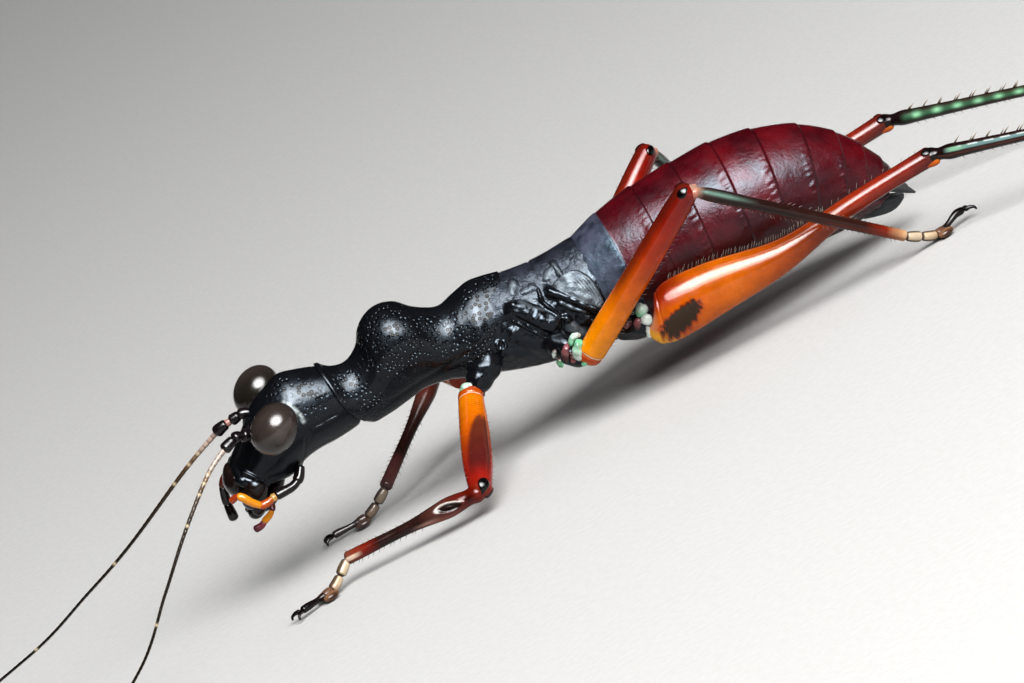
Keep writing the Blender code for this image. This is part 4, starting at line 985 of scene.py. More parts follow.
# Soft lobes round a hip, measured from it on the left side: three points, radius, tints.
LOBES = {
    "front": (
        ((-0.16, 0.14, 0.24), (0.04, 0.10, 0.40), (0.30, 0.14, 0.34), 0.12, MINT, MILK),
        ((0.34, 0.20, 0.20), (0.40, 0.20, 0.04), (0.36, 0.20, -0.16), 0.10, PINK, UMBER),
    ),
    "mid": (
        ((-0.42, 0.02, 0.50), (-0.22, 0.02, 0.70), (0.02, 0.06, 0.66), 0.10, MINT, MILK),
        ((-0.36, -0.04, 0.00), (-0.34, -0.12, 0.28), (-0.10, -0.10, 0.58), 0.15, MILK, MINT),
        ((-0.40, -0.06, -0.16), (-0.24, -0.10, -0.12), (-0.12, -0.06, -0.14), 0.09, MINT, MINT),
        ((-0.70, 0.06, 0.12), (-0.66, 0.04, 0.36), (-0.46, 0.08, 0.60), 0.12, UMBER, PINK),
        ((-0.60, 0.04, 0.00), (-0.52, 0.02, 0.16), (-0.50, 0.04, 0.36), 0.09, PINK, UMBER),
        ((-0.92, 0.14, 0.04), (-0.94, 0.10, 0.20), (-0.86, 0.14, 0.34), 0.09, MINT, UMBER),
        ((-1.02, 0.26, 0.40), (-0.94, 0.22, 0.50), (-0.84, 0.26, 0.62), 0.07, MILK, UMBER),
    ),
    "hind": (
        ((-0.50, 0.08, 0.34), (-0.36, 0.02, 0.50), (-0.18, 0.08, 0.54), 0.18, MINT, MILK),
        ((-0.44, 0.0, 0.02), (-0.36, -0.06, 0.18), (-0.26, -0.04, 0.32), 0.17, MILK, MILK),
        ((-0.56, 0.02, -0.38), (-0.48, -0.02, -0.20), (-0.42, 0.0, 0.02), 0.085, MILK, MILK),
        ((-1.02, 0.26, 0.18), (-0.92, 0.22, 0.30), (-0.76, 0.24, 0.34), 0.14, PINK, UMBER),
        ((-0.78, 0.14, 0.02), (-0.66, 0.08, 0.16), (-0.56, 0.12, 0.32), 0.12, UMBER, PINK),
    ),
}


def leg_frame(leg):
    """A leg's pair, its side (-1 left, 1 right), its hip, knee and ankle, the directions of its
    thigh and shin, and the way across both: their cross product, made one long."""
    pair, word = leg.split("_")
    hip, knee, ankle = (np.array(point) for point in LEGS[leg][:3])
    thigh = (knee - hip) / np.linalg.norm(knee - hip)
    shin = (ankle - knee) / np.linalg.norm(ankle - knee)
    side = np.cross(thigh, shin)
    return pair, dict(SIDES)[word], hip, knee, ankle, thigh, shin, side / np.linalg.norm(side)


COXA_BLACK = black_cuticle("coxa_black", 7000.0, 0.2, 0.18)
SOFT_SKIN = tinted("soft_skin", 0.22, 0.2, 0.8)
for leg in LEGS:
    pair, sign, hip, knee, ankle, thigh, shin, side = leg_frame(leg)
    start, turn = leaned(np.array(COXAE[pair]) * (1, sign, 1))
    root = rod(curve((start, turn, hip - thigh * TROCHANTER)), COXA_TABLES[pair], 90, 60, side)[0]
    x, y, z = np.moveaxis(root, 2, 0)
    wave = 0.03 * bump_field(root, [(turn, 0.35, 1.0)]) + 0.008 * np.sin(17 * z + 9 * x)
    wave += 0.022 * np.sin(8.3 * x + 3.1 * y) * np.sin(7.1 * z - 4.3 * x + 1.0)
    root = root + outward(root) * wave[:, :, None]
    dress(skin(leg + "_root", [root], COXA_BLACK, pits=[0.0]), "black_cuticle", leg + "_coxa")
    lobes, tints = [], []
    for *bend, radius, tone, other in LOBES[pair]:
        ends = hip + curve(bend, 40) * (1, -sign, 1)
        table = np.array(LOBE_TABLE) * (1, radius, radius)
        lobe, share, *_ = rod(ends, table, LOBE_ROWS, LOBE_SIDES)
        x, y, z = np.moveaxis(lobe, 2, 0) / radius
        dimple = np.sin(2.1 * x + 1.3 * z) * np.sin(1.7 * z - 2.3 * y) + 0.5 * np.sin(4.3 * x - 3.1 * z + y)
        lobes.append(lobe + outward(lobe) * (0.14 * radius * dimple)[..., None])
        tint = painted(share, ((0.2, *tone), (0.8, *other)))
        tints.append(over(tint, 0.45 * soft_step(dimple, 0.1, 1.2), (80, 66, 56)))
    dress(skin(leg + "_soft_lobes", lobes, SOFT_SKIN, tint=tints), "")

# Thighs. Each real one is a tapered tube of clear orange cuticle over muscle, which shows
# through as fine slanting marks. A narrow white ring parts it from the end piece of the root,
# and a black, polished spot sits over the knee.

THIGH_TABLES = {
    "front": ((0, 0.34, 0.35), (0.04, 0.37, 0.38), (0.12, 0.38, 0.40), (0.45, 0.41, 0.46), (0.72, 0.40, 0.45),
              (0.90, 0.34, 0.37), (1, 0.31, 0.33)),
    "mid": ((0, 0.26, 0.32), (0.05, 0.34, 0.40), (0.12, 0.38, 0.42), (0.40, 0.38, 0.42), (0.75, 0.37, 0.40),
            (0.92, 0.34, 0.37), (1, 0.30, 0.32)),
    "hind": ((0, 0.40, 0.60), (0.03, 0.46, 0.74), (0.06, 0.50, 0.84), (0.12, 0.52, 0.88), (0.20, 0.49, 0.83),
             (0.34, 0.43, 0.66), (0.46, 0.37, 0.49), (0.56, 0.32, 0.38), (0.70, 0.28, 0.31),
             (0.88, 0.27, 0.29), (1, 0.29, 0.31)),
}
# Share of the length, then a tone from 0 to 255.
THIGH_STOPS = {
    "front": ((0.0, 150, 40, 15), (0.07, 180, 75, 12), (0.13, 224, 120, 5), (0.40, 202, 92, 6),
              (0.60, 165, 55, 14), (0.74, 150, 34, 18), (0.86, 150, 28, 18), (1.0, 110, 34, 18)),
    "mid": ((0.0, 215, 110, 12), (0.045, 175, 55, 15), (0.075, 250, 150, 4), (0.20, 242, 135, 2),
            (0.42, 215, 95, 3), (0.62, 175, 52, 8), (0.82, 142, 28, 16), (1.0, 115, 22, 18)),
    # From its middle on, the hind thigh's darker tones are partly its own red-brown and partly a painted dark
    # reflection.
    "hind": ((0.0, 215, 150, 110), (0.025, 200, 95, 25), (0.08, 200, 88, 6), (0.28, 205, 98, 3),
             (0.42, 172, 74, 8), (0.55, 132, 50, 16), (0.74, 138, 42, 22), (0.90, 118, 34, 24),
             (1.0, 70, 28, 22)),
}
KNEE_REACH = {"front": 0.20, "mid": 0.16, "hind": 0.14}     # how far the thigh ends past the knee
MUSCLE_STEP = 0.085                                         # from one slanting mark to the next
RING_DEPTH, RING_WIDTH = 0.028, 0.028                       # the groove that parts it from the root
SPOT_BACK, SPOT_REACH, SPOT_ROUND = 0.21, 0.17, 0.42        # the polished spot over the knee
SPOT_SIZE = {"front": 1.25, "mid": 1.0, "hind": 1.0}
KNEE_TONES = {
    "front": ((125, 26, 14), (110, 30, 18)),
    "mid": ((140, 40, 20), (190, 130, 110)),
    "hind": ((165, 60, 18), (215, 105, 20)),
}
CLASP_TABLE = ((0, 0.5, 0.5), (0.7, 0.75, 0.85), (1, 0.5, 0.6))    # the knee's ovals, for a radius of 1
CLASP_RADIUS = 0.17
HIND_SAG = 0.28     # how far the hind thigh bows down
HIND_ROLL = 0.1     # how far the top of its deep side leans to the body


def thigh_line(pair, sign, start, end, thigh, side):
    """The thigh's line of middles and the way of its narrow side. The hind one stands on edge and
    bows down from the straight line by HIND_SAG * exp(-((share - 0.45) / 0.19)^2)."""
    share = np.linspace(0, 1, 60)[:, None]
    path = start + share * (end - start)
    if pair != "hind":
        return path, side
    deep = np.array([0.0, -HIND_ROLL * sign, 1.0])
    deep -= (deep @ thigh) * thigh
    deep /= np.linalg.norm(deep)
    return path - deep * HIND_SAG * bell(share - 0.45, 0.19), np.cross(deep, thigh)


def thigh_tints(pair, share, edge, face, length):
    """The thigh's tints: its stops, then slanting muscle marks, the dark patch and shaded edges."""
    tint = painted(share, THIGH_STOPS[pair])
    reach = share * length
    slant = 0.5 + 0.5 * np.cos(2 * math.pi * (reach / MUSCLE_STEP + np.abs(edge - 0.1) * 2.2))
    jag = 0.5 * np.sin(reach * 13 + edge * 7) * np.sin(reach * 5.1 - edge * 11 + 1.0)
    jag += 0.5 * np.sin(reach * 31 - edge * 9 + 2.0 * np.sin(edge * 8))
    out = soft_step(face, -0.2, 0.3)
    if pair == "front":
        marks = slant * soft_step(share, 0.08, 0.16) * soft_step(0.75 - share, 0, 0.3) * out
        tint = over(tint, 0.30 * marks, (110, 35, 8))
        widest = 0.98 - 1.3 * np.exp(-(share - 0.28) / 0.14)
        patch = soft_step(share + 0.015 * jag, 0.27, 0.36) * soft_step(0.94 - share, 0, 0.22) * out
        patch = patch * soft_step(widest + 0.16 * slant - edge, 0, 0.32) * soft_step(edge + 0.84, 0, 0.22)
        tint = over(tint, (0.94 - 0.16 * slant) * patch, (62, 30, 30))
    if pair == "mid":
        tint = over(tint, 0.14 * slant * out, (130, 45, 6))
        upper = soft_step(-edge, 0.35, 0.95) * soft_step(share, 0.25, 0.50)
        tint = over(tint, 0.80 * upper, (78, 28, 20))
    if pair == "hind":
        grain = np.sin(reach * 60 + edge * 14) * np.sin(reach * 47 - edge * 31)
        grain = soft_step(grain, 0.1, 0.6) * soft_step(0.7 - share, 0, 0.2) * out
        tint = over(tint, 0.25 * grain, (200, 75, 5))
        upper = soft_step(-edge, 0.30, 0.90) * soft_step(0.20 - share, 0, 0.14)
        tint = over(tint, 0.85 * upper, (165, 36, 10))
        low = soft_step(edge, 0.40, 0.8) * soft_step(0.09 - share, 0, 0.05)
        tint = over(tint, low, (236, 165, 30))
        fine = np.sin(reach * 90 + 6 * np.sin(edge * 5)) * np.sin(edge * 34 + reach * 20)
        x, out = share - 0.097, soft_step(face, -0.1, 0.2)
        far = np.abs(x / 0.069) ** 2.6 + np.abs((edge - 0.33 + 2.6 * x) / 0.52) ** 2.6
        tint = over(tint, 0.8 * soft_step(1.5 + 0.4 * jag - far, 0, 0.5) * out, (165, 50, 8))
        patch = soft_step(1.0 + 0.35 * jag + 0.22 * fine - far, -0.1, 0.25) * out
        tint = over(tint, 0.97 * patch, (36, 30, 12))
    return tint


def knee_lobes(knee, shin, thigh, side, radius):
    """Two low ovals that clasp the shin's root from either side, where it folds to. A straight leg
    folds down."""
    fold = shin
    if abs(shin @ thigh) > 0.5:
        fold, side = np.array([0.0, 0.0, -1.0]), np.cross(thigh, (0.0, 0.0, -1.0))
    fold = fold - (fold @ thigh) * thigh
    fold /= np.linalg.norm(fold)
    reach = np.linspace(-2.2, 1.1, 40)[:, None] * radius
    table = np.array(CLASP_TABLE) * (1, radius, radius)
    centres = [knee + fold * 0.17 + side * turn * 0.13 for turn in (-1, 1)]
    return [rod(centre + reach * (thigh + fold * 0.12), table, 40, 32, side) for centre in centres]


THIGH_ROWS, THIGH_SIDES = 380, 88
THIGH_SHELL = tinted("thigh_shell", 0.20, 0.28)
thigh_skins = {}
for leg in LEGS:
    pair, sign, hip, knee, ankle, thigh, shin, side = leg_frame(leg)
    start, end = hip - thigh * TROCHANTER, knee + thigh * KNEE_REACH[pair]
    length = np.linalg.norm(end - start)
    path, narrow = thigh_line(pair, sign, start, end, thigh, side)
    blunt = (0.45, 0.9) if pair == "front" else (0.7, 0.9)
    shape, share, edge, face = rod(path, THIGH_TABLES[pair], THIGH_ROWS, THIGH_SIDES, narrow, dome=blunt)
    face = face * -sign
    turn = np.linspace(0, 2 * math.pi, THIGH_SIDES, endpoint=False)[None]
    from_spot = np.arccos(np.clip(0.75 * np.abs(np.cos(turn)) + 0.66 * np.sin(turn), -1, 1))
    spot = (((1 - share) * length - SPOT_BACK) / SPOT_REACH) ** 2 + (from_spot / SPOT_ROUND) ** 2
    spot = spot / SPOT_SIZE[pair] ** 2
    if pair == "hind":
        slant = np.sin(turn) * np.sign(np.cross(thigh, narrow)[2])
        shape = shape + thigh * ((0.04 + 0.27 * slant) * bell(share, 0.10))[:, :, None]
    swell = 0.035 * soft_step(1.3 - spot, 0, 0.7) - RING_DEPTH * bell(share * length - TROCHANTER, RING_WIDTH)
    shape = shape + outward(shape) * swell[:, :, None]
    tint = thigh_tints(pair, share, edge, face, length)
    tint = over(tint, soft_step(1.15 - spot, 0, 0.25), (16, 13, 15))
    if pair != "hind":
        pale = bell(share * length - TROCHANTER - 0.05, 0.024) * soft_step(edge + face, -0.4, 0.4)
        tint = over(tint, 0.9 * pale, (240, 215, 195))
    grids, tints = [shape], [tint]
    root, tip = KNEE_TONES[pair]
    for lobe, reach, *_ in knee_lobes(knee, shin, thigh, side, CLASP_RADIUS):
        grids.append(lobe)
        tints.append(painted(reach, ((0.0, *root), (1.0, *tip))))
    dress(skin(leg + "_thigh", grids, THIGH_SHELL, tint=tints), "femur_orange", leg + "_femur")
    thigh_skins[leg] = shape, share, edge, face

# Shins. Each real one is a slender tube, dark brown and polished, with pale marks. The front
# one holds an oval ear in its swollen root, and the hind one carries two rows of short spines.

SHIN_TABLES = {
    "front": ((0, 0.24, 0.24), (0.05, 0.28, 0.30), (0.10, 0.24, 0.25), (0.17, 0.27, 0.29), (0.25, 0.29, 0.33),
              (0.34, 0.26, 0.29), (0.46, 0.205, 0.215), (0.90, 0.195, 0.20), (1, 0.20, 0.20)),
    "mid": ((0, 0.18, 0.18), (0.02, 0.22, 0.22), (0.05, 0.17, 0.17), (0.10, 0.20, 0.20), (0.30, 0.185, 0.185),
            (0.93, 0.175, 0.175), (1, 0.17, 0.17)),
    "hind": ((0, 0.22, 0.22), (0.015, 0.26, 0.27), (0.04, 0.19, 0.19), (0.075, 0.23, 0.24),
             (0.12, 0.22, 0.22), (0.95, 0.18, 0.18), (1, 0.18, 0.18)),
}
SHIN_STOPS = {
    "front": ((0.0, 105, 28, 16), (0.12, 92, 22, 14), (0.34, 78, 46, 40), (0.46, 44, 27, 24),
              (0.74, 42, 24, 21), (0.84, 110, 28, 18), (0.93, 120, 50, 36), (1.0, 90, 60, 46)),
    "mid": ((0.0, 150, 110, 95), (0.045, 170, 130, 110), (0.08, 60, 40, 36), (0.15, 38, 26, 24),
            (0.80, 50, 28, 24), (0.90, 118, 34, 18), (0.97, 190, 140, 100), (1.0, 215, 180, 140)),
    "hind": ((0.0, 24, 16, 16), (0.05, 30, 20, 20), (0.15, 42, 28, 26), (0.85, 56, 36, 32),
             (0.97, 140, 95, 75), (1.0, 165, 125, 95)),
}
EAR_AT, EAR_REACH, EAR_SLANT = (0.235, 0.22), (0.085, 0.42), 0.22


def corner_path(knee, thigh, shin, ankle, reach=0.34):
    """From just inside the thigh, round the knee on a quadratic Bezier curve, then straight on:
    point = a (1 - t)^2 + 2 knee t (1 - t) + b t^2."""
    t = np.linspace(0, 1, 24)[:, None]
    inner, outer = knee - thigh * 0.16, knee + shin * reach
    bend = inner * (1 - t) ** 2 + knee * 2 * t * (1 - t) + outer * t**2
    rest = outer + np.linspace(0.02, 1, 60)[:, None] * (ankle + shin * 0.05 - outer)
    return np.vstack([bend, rest])


SHIN_ROWS, SHIN_SIDES = 380, 64
SHIN_SHELL = tinted("shin_shell", 0.17, 0.15)
shin_skins = {}
for leg in LEGS:
    pair, sign, hip, knee, ankle, thigh, shin, side = leg_frame(leg)
    path = corner_path(knee, thigh, shin, ankle)
    shape, share, edge, face = rod(path, SHIN_TABLES[pair], SHIN_ROWS, SHIN_SIDES, side, dome=(0.9, 0.6))
    face = face * -sign
    tint = painted(share, SHIN_STOPS[pair])
    out = soft_step(face, -0.1, 0.3)
    if pair == "front":
        x = (share - EAR_AT[0]) / EAR_REACH[0]
        y = (edge - EAR_AT[1] - EAR_SLANT * x) / EAR_REACH[1]
        away = np.sqrt(x**2 + y**2) + 2 * (face < 0)
        swell = -0.035 * soft_step(1.0 - away, 0, 0.3) + 0.02 * bell(away - 1.12, 0.13)
        shape = shape + outward(shape) * swell[:, :, None]
        tint = over(tint, soft_step(1.04 - away, 0, 0.12), (30, 18, 14))
        # Painted highlight: a white arc on the upper side of the ear's raised rim.
        rim = bell(away - 1.10, 0.13) * soft_step(y + 0.55 * x, -0.30, 0.25)
        tint = over(tint, rim, (235, 225, 215))
        bulge = soft_step(-edge, 0.10, 0.6) * bell(share - 0.30, 0.12) * out
        tint = over(tint, 0.85 * bulge, (140, 78, 66))
        dark = bell(share - 0.10, 0.035) * bell(edge - 0.1, 0.5) * out
        tint = over(tint, 0.85 * dark, (36, 16, 12))
        cream = soft_step(share, 0.86, 0.94) * soft_step(0.42 - np.abs(edge - 0.05), 0, 0.2) * out
        tint = over(tint, cream, (222, 192, 168))
        # Painted shade over the lower part of the far front shin.
        if leg == "front_right":
            tint = over(tint, 0.75 * soft_step(share, 0.70, 0.84), (74, 56, 56))
        # Painted highlight: a pale streak down the middle of the shin.
        painted_highlight = soft_step(share, 0.30, 0.42) * soft_step(0.55 - share, 0, 0.15) * bell(edge + 0.35, 0.2)
        tint = over(tint, 0.7 * painted_highlight * out, (190, 140, 125))
    if pair == "mid":
        pale = bell(edge + 0.35, 0.28) * soft_step(0.34 - share, 0, 0.2) * soft_step(share, 0.05, 0.09)
        tint = over(tint, 0.75 * pale, (120, 155, 140))
        rust = bell(edge - 0.5, 0.3) * soft_step(share, 0.45, 0.8)
        tint = over(tint, 0.5 * rust, (120, 45, 25))
    if leg == "hind_left":
        stripe = soft_step(edge, -0.72, -0.60) * soft_step(-0.08 - edge, 0, 0.14) * out
        stripe = stripe * soft_step(share, 0.06, 0.09)
        tint = over(tint, 0.92 * stripe, (112, 142, 140))
        tint = over(tint, 0.8 * stripe * bell(share - 0.10, 0.035), (125, 175, 135))
        # Painted highlight: a broken white line along the shin.
        highlight_dashes = bell(edge + 0.62, 0.07) * soft_step(np.cos(share * 118), -0.6, 0.0) * out
        tint = over(tint, 0.9 * highlight_dashes * soft_step(share, 0.10, 0.13), (225, 232, 230))
        rust = bell(edge - 0.25, 0.16) * out * soft_step(share, 0.03, 0.06)
        tint = over(tint, 0.5 * rust, (105, 55, 42))
    if leg == "hind_right":
        band = bell(edge + 0.15, 0.42) * soft_step(share, 0.07, 0.10)
        tint = over(tint, 0.75 * band, (62, 110, 78))
        spot = (np.cos(share * 92 + 0.6) * 0.5 + 0.5) ** 2 * bell(edge + 0.2, 0.38)
        tint = over(tint, spot * soft_step(share, 0.09, 0.12), (150, 215, 165))
    dress(skin(leg + "_shin", [shape], SHIN_SHELL, tint=[tint]), "tibia_brown", leg + "_tibia")
    shin_skins[leg] = shape, share, edge, face

# Feet. Each real one has four joints: two short, a third with two soft lobes that hold
# on, and a long last one that arches up and carries two hooked claws.

FOOT_ROWS, FOOT_SIDES, FOOT_STEPS = 60, 40, 9
# Along the foot: how far ahead of the ankle, how high, half-width, half-height.
FOOT = (
    (0.0, 0.70, 0.15, 0.15), (0.40, 0.46, 0.15, 0.15), (0.80, 0.25, 0.15, 0.14), (1.20, 0.20, 0.13, 0.12),
    (1.48, 0.27, 0.09, 0.09), (1.80, 0.37, 0.10, 0.10), (2.02, 0.36, 0.12, 0.12), (2.12, 0.33, 0.12, 0.11),
)
FRONT_FOOT = (0.70, 0.46, 0.26, 0.22, 0.22, 0.24, 0.25, 0.25)     # how high a front foot is instead
FOOT_JOINTS = ((0.0, 0.17), (0.165, 0.34), (0.325, 0.47), (0.42, 1.0))
FOOT_TONES = (
    ((218, 196, 166), (212, 188, 156)), ((212, 188, 156), (186, 156, 124)),
    ((120, 85, 66), (80, 55, 46)), ((34, 24, 24), (18, 14, 16)),
)
PAD_AT, PAD_OUT, PAD_HEIGHT, PAD_RADII = 1.14, 0.23, 0.15, (0.27, 0.18, 0.12)
CLAW = ((0.0, 0.10, 0.0), (0.40, 0.40, 0.04), (0.75, 0.62, -0.12), (0.85, 0.66, -0.42))
CLAW_LENGTH, CLAW_TABLE = 0.34, ((0, 0.085, 0.085), (1, 0.03, 0.03))
# Painted shade: the far front foot lies in shade, so a grey tone is laid over it.
FAR_FOOT_SHADE_TONE, FAR_FOOT_SHADE = (66, 58, 58), {"front_right": 0.72}    # laid over the far front foot, the greyest

FOOT_SHELL = tinted("foot_shell", 0.20, 0.15)
for leg, (*_, ankle, heading) in LEGS.items():
    ahead = np.array([*heading, 0.0]) / math.hypot(*heading)
    across = np.array([-ahead[1], ahead[0], 0.0])
    base = np.array([ankle[0], ankle[1], 0.0])
    lift = FRONT_FOOT if leg.startswith("front") else [row[1] for row in FOOT]
    rows = np.array([base + ahead * row[0] + (0, 0, high) for row, high in zip(FOOT, lift)])
    spread = along(FOOT, np.linspace(0, 1, 160))
    # How much painted shade lies over this foot.
    dusk = FAR_FOOT_SHADE.get(leg, 0.0)
    grids, tints = [], []
    for number, ((first, last), (one, two)) in enumerate(zip(FOOT_JOINTS, FOOT_TONES)):
        path = along(rows, np.linspace(first, last, 40))
        steps = np.linspace(0, 1, FOOT_STEPS)
        at = first + (last - first) * steps
        size = np.stack([np.interp(at, np.linspace(0, 1, 160), spread[:, i]) for i in (2, 3)], -1)
        if number < 3:
            size *= (0.80 + 0.30 * np.sin(0.2 + 2.3 * steps))[:, None]
        table = np.column_stack([steps, size])
        grid, share, *_ = rod(path, table, FOOT_ROWS, FOOT_SIDES, across, dome=(0.7, 0.7))
        tint = painted(share, ((0.0, *one), (1.0, *two)))
        if number < 2:
            turn = np.abs(np.sin(np.linspace(0, 2 * math.pi, FOOT_SIDES, endpoint=False)))[None]
            rim = np.maximum(soft_step(turn, 0.55, 0.85), soft_step(np.abs(share - 0.5), 0.36, 0.45))
            tint = over(tint, 0.9 * rim, (54, 34, 24))
        grids.append(grid)
        tints.append(over(tint, dusk, FAR_FOOT_SHADE_TONE))
    for sign in (-1, 1):
        pad = ball(24, 32) * PAD_RADII
        far = np.abs(pad[..., 1]) / PAD_RADII[1]
        pad = pad[..., :1] * ahead + pad[..., 1:2] * across + pad[..., 2:] * (0, 0, 1)
        pad += base + ahead * PAD_AT + across * PAD_OUT * sign + (0, 0, PAD_HEIGHT)
        grids.append(pad)
        tint = over(shade((128, 92, 68)), soft_step(far, 0.4, 1.0), (66, 44, 34))
        tints.append(over(tint, dusk, FAR_FOOT_SHADE_TONE))
        hook = np.array(CLAW) * CLAW_LENGTH
        hook = rows[-1] + hook[:, :1] * ahead + hook[:, 1:2] * across * sign + hook[:, 2:] * (0, 0, 1)
        grids.append(rod(curve(hook), CLAW_TABLE, 30, 14, (0, 0, 1), dome=(1, 0.5))[0])
        tints.append(shade((20, 15, 16))[None, None])
    grids = [np.concatenate([grid[..., :2], np.maximum(grid[..., 2:], 0.0)], -1) for grid in grids]
    dress(skin(leg + "_foot", grids, FOOT_SHELL, tint=tints), "foot", leg + "_tarsus")

# Spines and hairs. The real legs carry short movable spines along the hind shins, a comb of
# stiff bristles on the hind thigh, and fine pale hairs along the other edges and the tail.

HAIR_SEED = 7
# Each row of hairs: legs, limb, first and last share, count, edge, face, length, thickness, lean.
HAIR_ROWS = (
    ("hind", "thigh", 0.10, 0.62, 64, -1.0, -0.22, 0.17, 0.014, 0.25),
    ("hind", "thigh", 0.62, 0.95, 12, -1.0, -0.20, 0.14, 0.012, 0.40),
    ("mid", "thigh", 0.12, 0.95, 34, 1.0, -0.10, 0.13, 0.011, 0.25),
    ("mid", "thigh", 0.20, 0.90, 10, -1.0, 0.10, 0.10, 0.010, 0.30),
    ("front", "thigh", 0.20, 0.85, 14, 1.0, 0.10, 0.11, 0.011, 0.30),
    ("front", "thigh", 0.25, 0.85, 16, -1.0, 0.10, 0.10, 0.010, 0.30),
    ("front", "shin", 0.42, 0.96, 18, 1.0, 0.10, 0.12, 0.013, 0.55),
    ("front", "shin", 0.46, 0.96, 14, -1.0, 0.10, 0.13, 0.013, 0.55),
    ("mid", "shin", 0.12, 0.95, 36, 1.0, 0.15, 0.13, 0.012, 0.50),
    ("mid", "shin", 0.35, 0.95, 20, -1.0, 0.15, 0.11, 0.012, 0.50),
    ("hind", "shin", 0.12, 0.95, 30, 1.0, 0.10, 0.12, 0.011, 0.60),
)
SPINE_ROWS = ((-1.0, 0.45), (-1.0, -0.45))         # edge and face of each row
SPINES_A_ROW, SPINE_LENGTH, SPINE_RADIUS, SPINE_LEAN = 17, 0.24, 0.032, 0.8


def roots_on(skin_of, shares, edge_at, face_at, chance):
    """Points on a limb's skin: the row nearest each share, and there the point whose place round
    the limb is nearest the wanted edge and face. Gives the points, normals and forward ways."""
    shape, share, edge, face = skin_of
    row = np.clip(np.searchsorted(share[:, 0], shares), 1, len(share) - 2)
    wobble = chance.uniform(-0.18, 0.18, (len(row), 1))
    column = np.argmax(edge[row] * edge_at + face[row] * (face_at + wobble), axis=1)
    middle = shape[row].mean(1)
    normal = shape[row, column] - middle
    forward = shape[row + 1].mean(1) - shape[row - 1].mean(1)
    normal -= forward * (np.sum(normal * forward, 1) / np.sum(forward**2, 1))[:, None]
    unit = [way / np.linalg.norm(way, axis=1, keepdims=True) for way in (normal, forward)]
    return shape[row, column], *unit


def tapered(roots, aims, bends, lengths, radius):
    """Three-sided hairs: middle = root + length * (aim * t + bend * t^2), radius * (1 - 0.85 t)."""
    t = np.array([-0.12, 0.35, 0.7, 1.0])[None, :, None]
    way = aims[:, None] * t + bends[:, None] * t**2 * np.sign(t)
    middle = roots[:, None] + lengths[:, None, None] * way
    first = np.cross(aims, (0.31, 0.87, 0.38))
    first /= np.linalg.norm(first, axis=1, keepdims=True)
    second = np.cross(aims, first)
    a = np.arange(3) * 2 * math.pi / 3
    ring = first[:, None] * np.cos(a)[None, :, None] + second[:, None] * np.sin(a)[None, :, None]
    size = radius * (1 - 0.85 * np.clip(t, 0, 1))
    return middle[:, :, None] + ring[:, None] * size[..., None]


def hair_tints(hairs, root, tip):
    """The same tints for every hair, in even steps from its root to its tip."""
    steps = np.linspace(0, 1, hairs.shape[1])[:, None]
    return [painted(steps, ((0.0, *root), (1.0, *tip)))] * len(hairs)


HAIR_SHELL = tinted("hair_shell", 0.35, 0.1, 0.0)
chance = np.random.default_rng(HAIR_SEED)
hairs = []
for leg in LEGS:
    for pair, limb, low, high, count, edge_at, face_at, long, thick, lean in HAIR_ROWS:
        if leg.startswith(pair):
            shares = np.linspace(low, high, count) + chance.uniform(-0.3, 0.3, count) * (high - low) / count
            source = thigh_skins[leg] if limb == "thigh" else shin_skins[leg]
            roots, normals, forwards = roots_on(source, shares, edge_at, face_at, chance)
            aims = normals + forwards * lean
            aims /= np.linalg.norm(aims, axis=1, keepdims=True)
            lengths = long * chance.uniform(0.7, 1.2, count)
            hairs.append(tapered(roots, aims, 0.35 * forwards, lengths, thick))
hairs = np.concatenate(hairs)
fringe = skin("leg_hairs", list(hairs), HAIR_SHELL, tint=hair_tints(hairs, (60, 40, 30), (200, 190, 175)))
dress(fringe, "femur_orange")
spines = []
for word, _ in SIDES:
    for edge_at, face_at in SPINE_ROWS:
        shares = np.linspace(0.10, 0.92, SPINES_A_ROW) + chance.uniform(-0.008, 0.008, SPINES_A_ROW)
        roots, normals, forwards = roots_on(shin_skins["hind_" + word], shares, edge_at, face_at, chance)
        aims = (normals + forwards * SPINE_LEAN) / math.hypot(1, SPINE_LEAN)
        lengths = np.full(SPINES_A_ROW, SPINE_LENGTH)
        spines.append(tapered(roots, aims, 0.1 * forwards, lengths, SPINE_RADIUS))
spines = np.concatenate(spines)
thorns = skin("shin_spines", list(spines), HAIR_SHELL, tint=hair_tints(spines, (40, 26, 22), (170, 150, 120)))
dress(thorns, "tibia_brown")

# Tail. The real one ends in the short, flat, upcurved blade that will lay the eggs, between
# two pointed feelers. Both are hard, dark grey and polished.

OVIPOSITOR = ((11.20, 0, 1.30), (11.75, 0, 1.08), (12.25, 0, 0.94), (12.72, 0, 0.95))
OVIPOSITOR_TABLE = ((0, 0.24, 0.34), (0.4, 0.20, 0.33), (0.75, 0.14, 0.26), (1, 0.06, 0.09))
CERCUS = ((12.30, 0.36, 1.60), (12.62, 0.44, 1.36), (12.84, 0.48, 1.14), (13.00, 0.48, 0.96))
CERCUS_TABLE = ((0, 0.18, 0.18), (0.5, 0.16, 0.16), (1, 0.03, 0.03))

TAIL_BLACK = black_cuticle("tail_black", 8000.0, 0.25, 0.22, (0.034, 0.034, 0.034))
blade, share, edge, face = rod(curve(OVIPOSITOR), OVIPOSITOR_TABLE, 120, 64, (0, 1, 0), dome=(1, 1.2))
seam = -0.02 * bell(edge, 0.10) * (np.abs(face) > 0.3)
blade = blade + outward(blade) * seam[:, :, None]
dress(skin("egg_blade", [leaned(blade)], TAIL_BLACK, pits=[0.0]), "black_cuticle", "ovipositor")
for word, sign in SIDES:
    spike = rod(curve(np.array(CERCUS) * (1, sign, 1)), CERCUS_TABLE, 70, 32, (0, 0, 1), dome=(1, 0.5))[0]
    spike = skin(word + "_tail_spike", [leaned(spike)], TAIL_BLACK, pits=[0.0])
    dress(spike, "black_cuticle", word + "_cercus")

# The stage: a plain pale floor, one broad soft light over the camera, as a close-up flash in
# a diffuser gives, two faint fills, and the camera where the photograph was taken from.

